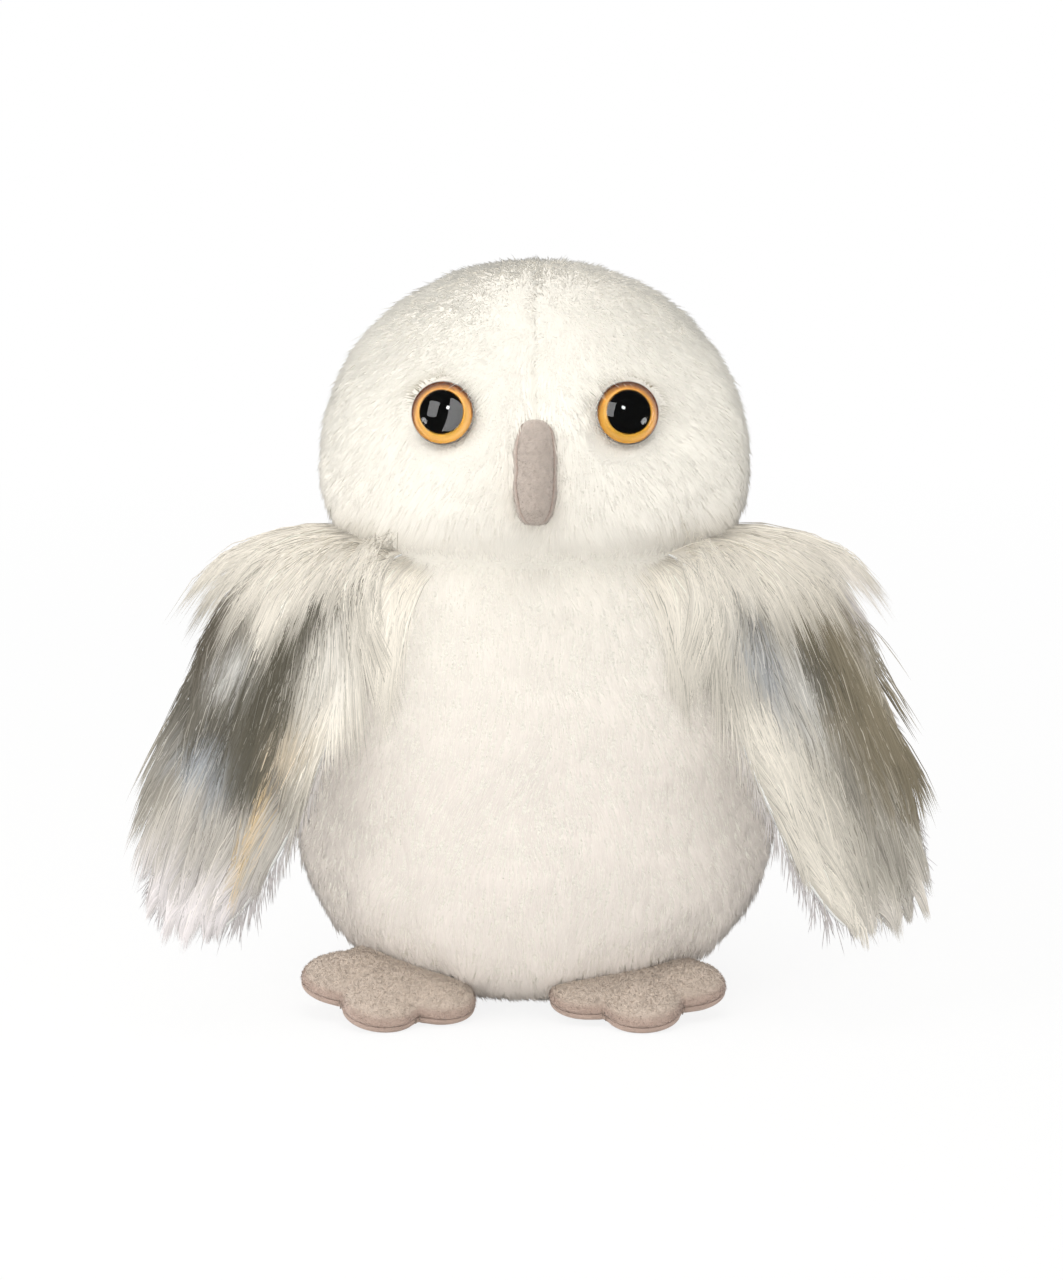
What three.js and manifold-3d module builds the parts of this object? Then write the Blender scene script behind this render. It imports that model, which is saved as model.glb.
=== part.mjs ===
// A plush owl, about 214 mm tall: a stuffed head and body in white plush panels, plastic safety
// eyes, a sewn beak, two long-pile wings, a short tail and two three-toed feet.
// Millimetres, +Z up. The owl faces -Y and its own left side is +X. The origin is the middle of
// the flat underside of the base panel.
import * as THREE from "three";
import { mergeVertices } from "three/addons/utils/BufferGeometryUtils.js";
import Module from "manifold-3d";

const wasm = await Module();
wasm.setup();

const degree = Math.PI / 180;
const quarter = 90 * degree;
const half = 180 * degree;

// Cloths and the gap between pieces that are sewn together or press on each other
const seamGap = 0.3;
const plushCloth = 6; // white plush, backing and pile together
const velourCloth = 1.3; // feet and beak
const longPileCloth = 6.5; // wings and tail, with the pile lying flat
const liningCloth = 2;
const wadding = 3;

// Body
const bodyHeight = 138.5; // floor to neck seam
const bodyWidth = 139;
const bodyDepth = 114;
const bellyHeight = 60; // where the body is widest
const baseSeamHeight = 9; // how far up the base panel reaches
const flatDepth = 1.6; // how deep the floor flattens the round underside
const underPower = 2.45; // 2 is an ellipse, more is squarer
const shoulderPower = 2.2;
const seamPull = 1.2; // how far a seam draws the stuffed cloth in
const seamReach = 9 * degree; // how far round the seam that shows

// Neck and head
const neckWidth = 112;
const neckDepth = 96;
const headHeight = 72; // neck seam to crown
const headWidth = 123;
const headDepth = 116;
const cheekHeight = 15; // where the head is widest, above the neck seam
const cheekPower = 2.6;
const crownPower = 2;
const browPull = 2.2; // the middle seam of the face is drawn in further

// Pellet pouch that weights the base
const pouchWidth = 66;
const pouchDepth = 54;
const pouchHeight = 20;
const pouchFootShare = 0.75; // its flat underside, as a share of its width and depth
const pouchMiddleShare = 0.4;
const pouchPower = 2.3;

// Safety eyes
const eyeDiameter = 18;
const eyeSpacing = 52;
const eyeHeight = 37.5; // above the neck seam
const eyeTurn = 8 * degree; // outwards
const eyeTilt = 15 * degree; // upwards
const eyeSink = 3.4; // from the pile's surface to the seat
const domeRise = 6.2;
const domeWall = 0.65;
const plateThickness = 1.2;
const irisThickness = 0.8;
const pupilDiameter = 12.2;
const pupilEdge = 0.9;
const pupilRise = 0.9;
const postDiameter = 4.6;
const postLength = 13;
const ribRise = 0.45;
const ribPitch = 1.8;
const ribCount = 5;
const washerDiameter = 14;
const washerThickness = 1.5;
const washerTeeth = 6;
const toothWidth = 1.4;
const toothLength = 2;
const eyeSteps = 20;
const washerSeats = 60; // the depths tried for the washer

// Beak
const beakLength = 29.5;
const beakWidth = 12.3;
const beakDepth = 16;
const beakHeight = 21.9; // its middle, above the neck seam
const beakStand = 7; // from the face to the middle of its front
const beakTilt = 20 * degree; // its lower end stands out further
const beakPower = 3;
const beakStrip = 60 * degree; // how far round the front strip reaches on each side

// Feet, which are sewn on a little unevenly
const feet = {
  left: { side: 1, across: 28, out: 8 * degree, roll: 3 * degree },
  right: { side: -1, across: 40, out: 12 * degree, roll: 9 * degree },
};
const footForward = 29.5;
const toeRadius = 10.5;
const toeReach = 17; // from the middle of the foot to the middle of a side toe's tip
const middleToeReach = 19;
const heelRadius = 16;
const toeSpread = 62 * degree; // between two toes
const footPitch = 14 * degree; // the heel is raised under the belly
const soleDepth = 2.8; // underside to seam
const footCrown = 6.4; // seam to the top
const webPower = 12; // how tightly the web between two toes is rounded
const footSteps = 27;

// Wings and tail, each a flap that hangs from a straight seam
const wing = {
  heading: 56 * degree, // from the front, round to the owl's side
  rootHeight: 135,
  startDroop: 12 * degree, // below the horizontal
  endDroop: 67 * degree,
  bendShare: 0.27, // of the length, over which it droops further
  length: 119,
  rootWidth: 40,
  width: 46,
  tipWidth: 22,
  wideShare: 0.38,
  twist: 31 * degree, // its outer face turns to the front
  rootThickness: 3,
};
const tail = {
  heading: half,
  rootHeight: 30,
  startDroop: 30 * degree,
  endDroop: 8 * degree,
  bendShare: 0.8,
  length: 34,
  rootWidth: 30,
  width: 38,
  tipWidth: 18,
  wideShare: 0.5,
  twist: 0,
  rootThickness: 3,
};
const flapPower = 2.4; // 2 is an elliptical end, more is squarer
const rootPuffShare = 0.3; // of a flap's length, over which it fills out
const flapRows = 8;
const flapColumns = 4;
const edgeShare = 0.45; // a flap's thickness at its side edges, as a share of that at its middle

// Round forms

// The half-width of a stuffed form: a superellipse from its widest place, where share is 0, to
// an end of its own half-width, where share is 1. A closed end has a half-width of 0.
function swell(widest, end, share, power) {
  const cut = 1 - (end / widest) ** power;
  return widest * Math.max(0, 1 - cut * share ** power) ** (1 / power);
}

const bodyForm = {
  bottom: -flatDepth,
  middle: bellyHeight,
  top: bodyHeight - seamGap / 2,
  halves: [bodyWidth / 2, bodyDepth / 2],
  bottomHalves: [0, 0],
  topHalves: [neckWidth / 2, neckDepth / 2],
  lowerPower: underPower,
  upperPower: shoulderPower,
  floor: 0,
  seams: [
    { at: quarter, pull: seamPull },
    { at: half, pull: seamPull },
    { at: -quarter, pull: seamPull },
  ],
};
const headForm = {
  bottom: bodyHeight + seamGap / 2,
  middle: bodyHeight + cheekHeight,
  top: bodyHeight + headHeight,
  halves: [headWidth / 2, headDepth / 2],
  bottomHalves: [neckWidth / 2, neckDepth / 2],
  topHalves: [0, 0],
  lowerPower: cheekPower,
  upperPower: crownPower,
  floor: -Infinity,
  seams: [
    { at: 0, pull: browPull },
    { at: quarter, pull: seamPull },
    { at: half, pull: seamPull },
    { at: -quarter, pull: seamPull },
  ],
};

const beakForm = {
  bottom: -beakLength / 2,
  middle: 0,
  top: beakLength / 2,
  halves: [beakWidth / 2, beakDepth / 2],
  bottomHalves: [0, 0],
  topHalves: [0, 0],
  lowerPower: beakPower,
  upperPower: beakPower,
  floor: -Infinity,
  seams: [],
};

// The same form with its surface moved out by a distance, or in by a negative one. An open end
// stays at its height.
function grown(form, by) {
  const moved = (halves) => halves.map((size) => (size > 0 ? size + by : 0));
  return {
    ...form,
    halves: moved(form.halves),
    bottomHalves: moved(form.bottomHalves),
    topHalves: moved(form.topHalves),
    bottom: form.bottomHalves[0] > 0 ? form.bottom : form.bottom - by,
    top: form.topHalves[0] > 0 ? form.top : form.top + by,
    floor: form.floor - by,
  };
}

// A point of a form. Share runs from -1 at its bottom to 0 where it is widest and 1 at its top,
// and angle from the front round by the owl's left.
function onForm(form, share, angle) {
  const upper = share > 0;
  const power = upper ? form.upperPower : form.lowerPower;
  const ends = upper ? form.topHalves : form.bottomHalves;
  const reach = upper ? form.top - form.middle : form.middle - form.bottom;
  const [across, deep] = form.halves.map((size, i) => swell(size, ends[i], Math.abs(share), power));
  const pull = form.seams.reduce((sum, seam) => {
    const away = Math.atan2(Math.sin(angle - seam.at), Math.cos(angle - seam.at));
    return sum + seam.pull * Math.exp(-((away / seamReach) ** 2));
  }, 0);
  const drawn = 1 - pull / form.halves[0];
  return new THREE.Vector3(
    across * drawn * Math.sin(angle),
    -deep * drawn * Math.cos(angle),
    Math.max(form.floor, form.middle + share * reach),
  );
}

const shareAt = (form, height) =>
  height > form.middle
    ? (height - form.middle) / (form.top - form.middle)
    : (height - form.middle) / (form.middle - form.bottom);

// Whether a point is inside a form, its seams aside.
function within(form, point) {
  const share = shareAt(form, point.z);
  const [ends, power] =
    share > 0 ? [form.topHalves, form.upperPower] : [form.bottomHalves, form.lowerPower];
  const [across, deep] = form.halves.map((size, i) => swell(size, ends[i], Math.abs(share), power));
  return (point.x / across) ** 2 + (point.y / deep) ** 2 < 1;
}

const steps = (from, to, count) =>
  Array.from({ length: count + 1 }, (_, i) => from + ((to - from) * i) / count);

// Shares from 0 to a closed end or to a share short of it, closer together where the form turns
// in.
function closingShares(power, to, count) {
  const last = Math.acos(Math.min(1, (1 - to ** power) ** (1 / power)));
  return steps(0, last, count).map((turn) => (1 - Math.cos(turn) ** power) ** (1 / power));
}

// Closed meshes

// Triangles given as corner triples, without those that have no area, facing outwards.
function closedGeometry(corners) {
  const position = [];
  let volume = 0;
  for (let i = 0; i < corners.length; i += 3) {
    const [a, b, c] = corners.slice(i, i + 3);
    if (a.distanceTo(b) * b.distanceTo(c) * c.distanceTo(a) === 0) continue;
    volume += a.dot(b.clone().cross(c));
    position.push(...a.toArray(), ...b.toArray(), ...c.toArray());
  }
  if (volume < 0) {
    for (let i = 0; i < position.length; i += 9) {
      for (let k = 0; k < 3; k += 1) {
        const kept = position[i + 3 + k];
        position[i + 3 + k] = position[i + 6 + k];
        position[i + 6 + k] = kept;
      }
    }
  }
  const geometry = new THREE.BufferGeometry();
  geometry.setAttribute("position", new THREE.Float32BufferAttribute(position, 3));
  geometry.computeVertexNormals();
  return geometry;
}

const quad = (a, b, c, d) => [a, b, c, a, c, d];

// A sheet with a thickness: two grids of points, joined round their four sides.
function slab(outer, inner) {
  const corners = [];
  const rows = outer.length - 1;
  const columns = outer[0].length - 1;
  for (let i = 0; i < rows; i += 1) {
    for (let j = 0; j < columns; j += 1) {
      corners.push(...quad(outer[i][j], outer[i + 1][j], outer[i + 1][j + 1], outer[i][j + 1]));
      corners.push(...quad(inner[i][j], inner[i][j + 1], inner[i + 1][j + 1], inner[i + 1][j]));
    }
    corners.push(...quad(outer[i][0], inner[i][0], inner[i + 1][0], outer[i + 1][0]));
    const [o, n] = [outer[i][columns], inner[i][columns]];
    corners.push(...quad(o, outer[i + 1][columns], inner[i + 1][columns], n));
  }
  for (let j = 0; j < columns; j += 1) {
    corners.push(...quad(outer[0][j], outer[0][j + 1], inner[0][j + 1], inner[0][j]));
    const [o, n] = [outer[rows], inner[rows]];
    corners.push(...quad(o[j], n[j], n[j + 1], o[j + 1]));
  }
  return closedGeometry(corners);
}

// Rings of points joined one to the next, with the first and last closed by a fan.
function ringed(rings) {
  const corners = [];
  const count = rings[0].length;
  rings.slice(1).forEach((next, i) => {
    for (let j = 0; j < count; j += 1) {
      const k = (j + 1) % count;
      corners.push(...quad(rings[i][j], rings[i][k], next[k], next[j]));
    }
  });
  const middle = (ring) =>
    ring.reduce((sum, p) => sum.add(p), new THREE.Vector3()).divideScalar(count);
  const [first, last] = [rings[0], rings[rings.length - 1]];
  const [start, end] = [middle(first), middle(last)];
  for (let j = 0; j < count; j += 1) {
    const k = (j + 1) % count;
    corners.push(start, first[k], first[j], end, last[j], last[k]);
  }
  return closedGeometry(corners);
}

function solidOf(geometry) {
  const bare = geometry.index ? geometry.toNonIndexed() : geometry.clone();
  bare.deleteAttribute("normal");
  bare.deleteAttribute("uv");
  const merged = mergeVertices(bare);
  return new wasm.Manifold(
    new wasm.Mesh({
      numProp: 3,
      vertProperties: merged.attributes.position.array,
      triVerts: new Uint32Array(merged.index.array),
    }),
  );
}

function geometryOf(solid) {
  const mesh = solid.getMesh();
  const geometry = new THREE.BufferGeometry();
  geometry.setAttribute("position", new THREE.BufferAttribute(mesh.vertProperties, 3));
  geometry.setIndex(new THREE.BufferAttribute(mesh.triVerts, 1));
  const flat = geometry.toNonIndexed();
  flat.computeVertexNormals();
  return flat;
}

const cut = (geometry, ...tools) =>
  geometryOf(tools.reduce((solid, tool) => solid.subtract(solidOf(tool)), solidOf(geometry)));

// Materials

const cloth = (color, roughness) => new THREE.MeshStandardMaterial({ color, roughness });
const materials = {
  plush: cloth(0xf4f1ea, 0.95),
  backPlush: cloth(0xeeeae2, 0.95),
  fibre: cloth(0xfbfbf8, 1),
  pouch: cloth(0xd9d2c4, 0.9),
  velour: cloth(0xb9a99c, 0.9),
  greyPile: cloth(0x8b8780, 0.85),
  lining: cloth(0xe6e1d6, 0.95),
  clearPlastic: new THREE.MeshStandardMaterial({
    color: 0xfff4e0,
    roughness: 0.05,
    opacity: 0.35,
    transparent: true,
  }),
  amber: cloth(0xd98a1e, 0.35),
  blackPlastic: cloth(0x070606, 0.2),
  nylon: cloth(0xe9e9e6, 0.5),
};

function named(name, geometry, material) {
  const mesh = new THREE.Mesh(geometry, material);
  mesh.name = name;
  return mesh;
}

// Head and body

const formSteps = 24; // round a whole form
const seamShare = -shareAt(bodyForm, baseSeamHeight);
const panelShares = {
  body: [
    ...steps(1, 0, 4).slice(0, -1),
    ...closingShares(underPower, seamShare, 4).map((share) => -share),
  ],
  head: [...steps(-1, 0, 2).slice(0, -1), ...closingShares(crownPower, 1, 6)],
};

// The base panel's rings, from its middle out to just short of its seam.
const baseRim = (1 - (-shareAt(bodyForm, baseSeamHeight - seamGap)) ** underPower) ** (1 / underPower);
const baseShares = steps(0, baseRim, 4)
  .slice(1)
  .map((wide) => -((1 - wide ** underPower) ** (1 / underPower)));

// The pouch stands on the inside of the base panel, whose facets are straight from ring to ring
// and rise towards the foot's edge.
const baseInside = grown(bodyForm, -plushCloth);
const pouchFoot = [pouchWidth, pouchDepth].map((size) => (size / 2) * pouchFootShare);
const footReach = Math.max(...pouchFoot.map((size, i) => size / baseInside.halves[i]));
function pouchSeat() {
  const rims = baseShares.map((share) => onForm(baseInside, share, 0));
  const reaches = rims.map((rim) => -rim.y / baseInside.halves[1]);
  const next = Math.max(1, reaches.findIndex((reach) => reach >= footReach));
  const part = (footReach - reaches[next - 1]) / (reaches[next] - reaches[next - 1]);
  return rims[next - 1].z + (rims[next].z - rims[next - 1].z) * part + seamGap;
}
const pouchBottom = pouchSeat();
const pouchForm = {
  bottom: pouchBottom,
  middle: pouchBottom + pouchHeight * pouchMiddleShare,
  top: pouchBottom + pouchHeight,
  halves: [pouchWidth / 2, pouchDepth / 2],
  bottomHalves: pouchFoot,
  topHalves: [0, 0],
  lowerPower: pouchPower,
  upperPower: pouchPower,
  floor: -Infinity,
  seams: [],
};

const formRing = (form, share, count = formSteps) =>
  steps(0, 2 * half, count)
    .slice(0, -1)
    .map((angle) => onForm(form, share, angle));

// A cloth panel of a form between two seams. It is set out by half the gap, so that panels that
// meet at a seam stay apart.
function clothPanel(form, shares, from, to, count) {
  const grid = (surface) =>
    shares.map((share) => steps(from, to, count).map((angle) => onForm(surface, share, angle)));
  return slab(grid(form), grid(grown(form, -plushCloth)));
}

// The closed end of a form, from a share down to its pole and back up inside.
function basePanel() {
  const rings = (form) => baseShares.map((share) => formRing(form, share));
  return ringed([...rings(bodyForm), ...rings(grown(bodyForm, -plushCloth)).reverse()]);
}

// A whole form as one closed body, with its facets parallel to those of its panels.
const wholeShares = {
  body: [...panelShares.body, ...baseShares.toReversed()],
  head: panelShares.head.slice(0, -1),
};
const ringedForm = (form, shares) => ringed(shares.map((share) => formRing(form, share)));
const filling = (form, shares) => ringedForm(grown(form, -plushCloth - seamGap), shares);

// The panels stand out from their form by half a gap, so what is sewn on them is cut by this.
const sewnGap = 1.5 * seamGap;

function bodyPieces() {
  const group = new THREE.Group();
  const shift = seamGap / 2;
  const front = named(
    "body_front_panel",
    clothPanel(bodyForm, panelShares.body, -quarter, quarter, formSteps / 2),
    materials.plush,
  );
  front.position.y = -shift;
  const backLeft = named(
    "body_back_left_panel",
    clothPanel(bodyForm, panelShares.body, quarter, half, formSteps / 4),
    materials.backPlush,
  );
  backLeft.position.set(shift, shift, 0);
  const backRight = named(
    "body_back_right_panel",
    clothPanel(bodyForm, panelShares.body, -half, -quarter, formSteps / 4),
    materials.backPlush,
  );
  backRight.position.set(-shift, shift, 0);
  const pouchRings = [
    ...steps(-1, 0, 2).slice(0, -1),
    ...closingShares(pouchPower, 1, 5).slice(0, -1),
  ];
  const pouch = ringedForm(pouchForm, pouchRings);
  const room = { ...grown(pouchForm, seamGap), bottom: 0 };
  group.add(
    front,
    backLeft,
    backRight,
    named("body_base_panel", basePanel(), materials.plush),
    named("pellet_pouch", pouch, materials.pouch),
    named(
      "body_stuffing",
      cut(filling(bodyForm, wholeShares.body), ringedForm(room, pouchRings)),
      materials.fibre,
    ),
  );
  return group;
}

// Eyes, each about its own axis: +Y runs out of the head from the seat

const lathe = (points, count = eyeSteps) =>
  new THREE.LatheGeometry(
    points.map(([x, y]) => new THREE.Vector2(x, y)),
    count,
  );
const plateRadius = eyeDiameter / 2 - domeWall - seamGap;
const irisBase = plateThickness + seamGap;
const pupilRadius = pupilDiameter / 2;
const postRadius = postDiameter / 2;
const washerBore = postRadius + ribRise + seamGap;

function domeGeometry() {
  const rim = eyeDiameter / 2;
  const roof = irisBase + irisThickness + seamGap;
  const pocket = pupilRadius + seamGap;
  const pocketRoof = irisBase + pupilEdge + pupilRise + seamGap;
  const arc = steps(0, quarter, 7).map((turn) => [
    rim * Math.cos(turn) * (turn < quarter ? 1 : 0),
    domeRise * Math.sin(turn),
  ]);
  return lathe([
    [0, pocketRoof],
    [pocket, pocketRoof],
    [pocket, roof],
    [rim - domeWall, roof],
    [rim - domeWall, 0],
    ...arc,
  ]);
}

const irisGeometry = () =>
  lathe([
    [pupilRadius + seamGap, irisBase],
    [plateRadius, irisBase],
    [plateRadius, irisBase + irisThickness],
    [pupilRadius + seamGap, irisBase + irisThickness],
    [pupilRadius + seamGap, irisBase],
  ]);

const pupilGeometry = () =>
  lathe([
    [0, irisBase],
    [pupilRadius, irisBase],
    ...steps(0, quarter, 4).map((turn) => [
      pupilRadius * Math.cos(turn) * (turn < quarter ? 1 : 0),
      irisBase + pupilEdge + pupilRise * Math.sin(turn),
    ]),
  ]);

function shankGeometry() {
  const ribs = Array.from({ length: ribCount }, (_, i) => {
    const low = -postLength + i * ribPitch;
    return [
      [postRadius, low],
      [postRadius + ribRise, low + ribPitch / 2],
    ];
  }).flat();
  return lathe([
    [0, -postLength],
    ...ribs,
    [postRadius, -postLength + ribCount * ribPitch],
    [postRadius, 0],
    [plateRadius, 0],
    [plateRadius, plateThickness],
    [0, plateThickness],
  ], 16);
}

// The depth under the seat at which a ring of the washer's size comes clear of the cloth, whose
// flat facets lie inside its round form.
function clothDepth() {
  const sag = (headWidth / 2) * (1 - Math.cos(half / formSteps));
  const inside = grown(headForm, -plushCloth - seamGap - sag);
  const clear = (depth) =>
    steps(0, 2 * half, eyeSteps).every((turn) => {
      const [x, z] = [Math.cos(turn), Math.sin(turn)].map((at) => (at * washerDiameter) / 2);
      return within(inside, new THREE.Vector3(x, -depth, z).applyMatrix4(eyePlace(1)));
    });
  const [first, last] = [plushCloth - eyeSink, postLength - washerThickness];
  return steps(first, last, washerSeats).find(clear) ?? last;
}

// A flat lock washer: a ring whose bore is cut into teeth that grip the post.
function washerGeometry() {
  const rim = new THREE.Shape().absarc(0, 0, washerDiameter / 2, 0, 2 * half);
  const bore = new THREE.Path();
  const outer = washerBore + toothLength;
  for (let i = 0; i < washerTeeth; i += 1) {
    const turn = (i * 2 * half) / washerTeeth;
    const [near, far] = [toothWidth / washerBore / 2, toothWidth / outer / 2];
    const wide = (2 * half) / washerTeeth;
    const at = (radius, angle) => [radius * Math.cos(angle), radius * Math.sin(angle)];
    const path = [
      at(washerBore, turn - near),
      at(washerBore, turn + near),
      at(outer, turn + far),
      at(outer, turn + wide - far),
    ];
    path.forEach(([x, y], k) => (i + k === 0 ? bore.moveTo(x, y) : bore.lineTo(x, y)));
  }
  bore.closePath();
  rim.holes.push(bore);
  const geometry = new THREE.ExtrudeGeometry(rim, {
    depth: washerThickness,
    bevelEnabled: false,
    curveSegments: 12,
  });
  geometry.rotateX(quarter);
  return geometry.translate(0, -clothDepth(), 0);
}

// Where an eye sits: its place on the head and the turn from +Y to its axis.
function eyePlace(side) {
  const share = shareAt(headForm, bodyHeight + eyeHeight);
  const across = onForm(headForm, share, quarter).x / (1 - seamPull / headForm.halves[0]);
  const place = onForm(headForm, share, side * Math.asin(eyeSpacing / 2 / across));
  const axis = new THREE.Vector3(
    side * Math.sin(eyeTurn) * Math.cos(eyeTilt),
    -Math.cos(eyeTurn) * Math.cos(eyeTilt),
    Math.sin(eyeTilt),
  );
  place.addScaledVector(axis, -eyeSink);
  const turn = new THREE.Quaternion().setFromUnitVectors(new THREE.Vector3(0, 1, 0), axis);
  return new THREE.Matrix4().compose(place, turn, new THREE.Vector3(1, 1, 1));
}

// What the cloth and the filling leave free for an eye.
function eyeRoom(side) {
  const out = domeRise + eyeSink;
  const post = postRadius + ribRise + seamGap;
  const under = clothDepth() + washerThickness + seamGap;
  const seat = [
    [0, -postLength - seamGap],
    [post, -postLength - seamGap],
    [post, -seamGap],
    [eyeDiameter / 2 + seamGap, -seamGap],
    [eyeDiameter / 2 + seamGap, out],
    [0, out],
  ];
  const well = [
    [0, -postLength - seamGap],
    [post, -postLength - seamGap],
    [post, -under],
    [washerDiameter / 2 + seamGap, -under],
    [washerDiameter / 2 + seamGap, -seamGap],
    [eyeDiameter / 2 + seamGap, -seamGap],
    [eyeDiameter / 2 + seamGap, out],
    [0, out],
  ];
  return [seat, well].map((points) => lathe(points).applyMatrix4(eyePlace(side)));
}

function eyePieces(side, prefix) {
  const group = new THREE.Group();
  eyePlace(side).decompose(group.position, group.quaternion, group.scale);
  group.add(
    named(`${prefix}_eye_dome`, domeGeometry(), materials.clearPlastic),
    named(`${prefix}_eye_iris`, irisGeometry(), materials.amber),
    named(`${prefix}_eye_pupil`, pupilGeometry(), materials.blackPlastic),
    named(`${prefix}_eye_shank`, shankGeometry(), materials.blackPlastic),
    named(`${prefix}_eye_washer`, washerGeometry(), materials.nylon),
  );
  return group;
}


function headPieces() {
  const group = new THREE.Group();
  const shift = seamGap / 2;
  const quarters = [
    { name: "head_face_left_panel", from: 0, x: shift, y: -shift, side: 1 },
    { name: "head_back_left_panel", from: quarter, x: shift, y: shift },
    { name: "head_back_right_panel", from: -half, x: -shift, y: shift },
    { name: "head_face_right_panel", from: -quarter, x: -shift, y: -shift, side: -1 },
  ];
  quarters.forEach(({ name, from, x, y, side }) => {
    const sewn = clothPanel(headForm, panelShares.head, from, from + quarter, formSteps / 4);
    sewn.translate(x, y, 0);
    const geometry = side ? cut(sewn, eyeRoom(side)[0]) : sewn;
    group.add(named(name, geometry, side ? materials.plush : materials.backPlush));
  });
  const wells = [1, -1].map((side) => eyeRoom(side)[1]);
  const filled = cut(filling(headForm, wholeShares.head), ...wells);
  group.add(named("head_stuffing", filled, materials.fibre));
  group.add(eyePieces(1, "left"), eyePieces(-1, "right"), beakPieces());
  return group;
}

// Beak: a narrow stuffed hook that stands out from the face. A strip runs down its front between
// two side panels, which are sewn to the face.

function beakPieces() {
  const group = new THREE.Group();
  const shares = [
    ...closingShares(beakPower, 1, 4).reverse(),
    ...closingShares(beakPower, 1, 4)
      .slice(1)
      .map((share) => -share),
  ];
  const panel = (from, to, count) => {
    const grid = (form) =>
      shares.map((share) => steps(from, to, count).map((angle) => onForm(form, share, angle)));
    return slab(grid(beakForm), grid(grown(beakForm, -velourCloth)));
  };
  const core = grown(beakForm, -velourCloth - seamGap);
  const round = [
    ...steps(-beakStrip, beakStrip, 6).slice(0, -1),
    ...steps(beakStrip, half, 4).slice(0, -1),
    ...steps(half, 2 * half - beakStrip, 4).slice(0, -1),
  ];
  const coreRings = shares
    .slice(1, -1)
    .map((share) => round.map((angle) => onForm(core, share, angle)));
  const seam = seamGap / 2 / (beakWidth / 2); // as an angle
  const middle = bodyHeight + beakHeight;
  const face = onForm(headForm, shareAt(headForm, middle), 0);
  const place = new THREE.Matrix4()
    .makeTranslation(0, face.y - beakStand + beakDepth / 2, middle)
    .multiply(new THREE.Matrix4().makeRotationX(-beakTilt));
  const pieces = {
    beak_front_panel: [panel(seam - beakStrip, beakStrip - seam, 6), materials.velour],
    beak_left_panel: [panel(beakStrip + seam, half - seam, 4), materials.velour],
    beak_right_panel: [panel(seam - half, -beakStrip - seam, 4), materials.velour],
    beak_stuffing: [ringed(coreRings), materials.fibre],
  };
  const faceSurface = ringedForm(grown(headForm, sewnGap), wholeShares.head);
  Object.entries(pieces).forEach(([name, [geometry, material]]) => {
    group.add(named(name, cut(geometry.applyMatrix4(place), faceSurface), material));
  });
  return group;
}

// Feet: a padded three-toed form, seamed low round its edge

// The outline of a foot as a distance from its middle, where angle 0 is the middle toe.
function footRadius(angle) {
  const toe = (at, reach) => {
    const away = Math.abs(Math.atan2(Math.sin(angle - at), Math.cos(angle - at)));
    const side = reach * Math.sin(away);
    if (away < quarter && side < toeRadius) {
      return reach * Math.cos(away) + Math.sqrt(toeRadius ** 2 - side ** 2);
    }
    return away < quarter ? toeRadius / Math.sin(away) : toeRadius;
  };
  const lobes = [toe(-toeSpread, toeReach), toe(0, middleToeReach), toe(toeSpread, toeReach)];
  const all = [...lobes, heelRadius].map((radius) => (radius / toeReach) ** webPower);
  return toeReach * all.reduce((sum, value) => sum + value, 0) ** (1 / webPower);
}

// A ring of the foot: the outline drawn in by a wall and shrunk to a share, at a height.
const footRing = (share, wall, height) =>
  steps(0, 2 * half, footSteps)
    .slice(0, -1)
    .map((angle) => {
      const radius = (footRadius(angle) - wall) * share;
      return new THREE.Vector3(radius * Math.sin(angle), -radius * Math.cos(angle), height);
    });

const crownPowerOfFoot = 2.4;
const solePower = 5;
const footShares = [0.25, 0.55, 0.8, 0.94, 1];
const crownAt = (share, rise) =>
  rise * Math.max(0, 1 - share ** crownPowerOfFoot) ** (1 / crownPowerOfFoot);
const soleAt = (share, depth) => -depth * Math.max(0, 1 - share ** solePower) ** (1 / solePower);

function footGeometries() {
  const upper = (wall) =>
    footShares.map((share) =>
      footRing(share, wall, seamGap / 2 + crownAt(share, footCrown - seamGap / 2 - wall)),
    );
  const sole = (wall) =>
    footShares.map((share) =>
      footRing(share, wall, -seamGap / 2 + soleAt(share, soleDepth - seamGap / 2 - wall)),
    );
  const inside = velourCloth + seamGap;
  const core = [
    ...footShares.map((share) => footRing(share, inside, soleAt(share, soleDepth - inside))),
    ...footShares
      .slice(0, -1)
      .reverse()
      .map((share) => footRing(share, inside, crownAt(share, footCrown - inside))),
  ];
  return {
    upper_panel: ringed([...upper(0), ...upper(velourCloth).reverse()]),
    sole_panel: ringed([...sole(0), ...sole(velourCloth).reverse()]),
    stuffing: ringed(core),
  };
}

// A foot in its place: pitched and rolled under the belly, with its lowest point on the floor,
// and cut where the body stands over it.
function footPieces({ side, across, out, roll }, prefix) {
  const group = new THREE.Group();
  const place = new THREE.Matrix4()
    .makeTranslation(side * across, -footForward, 0)
    .multiply(new THREE.Matrix4().makeRotationZ(side * out))
    .multiply(new THREE.Matrix4().makeRotationX(footPitch))
    .multiply(new THREE.Matrix4().makeRotationY(-side * roll));
  const geometries = footGeometries();
  Object.values(geometries).forEach((geometry) => geometry.applyMatrix4(place));
  const low = Math.min(
    ...Object.values(geometries).map((geometry) => {
      geometry.computeBoundingBox();
      return geometry.boundingBox.min.z;
    }),
  );
  const belly = ringedForm(grown(bodyForm, sewnGap), wholeShares.body);
  Object.entries(geometries).forEach(([piece, geometry]) => {
    geometry.translate(0, 0, -low);
    const material = piece === "stuffing" ? materials.fibre : materials.velour;
    group.add(named(`${prefix}_foot_${piece}`, cut(geometry, belly), material));
  });
  return group;
}

// Wings and tail

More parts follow.
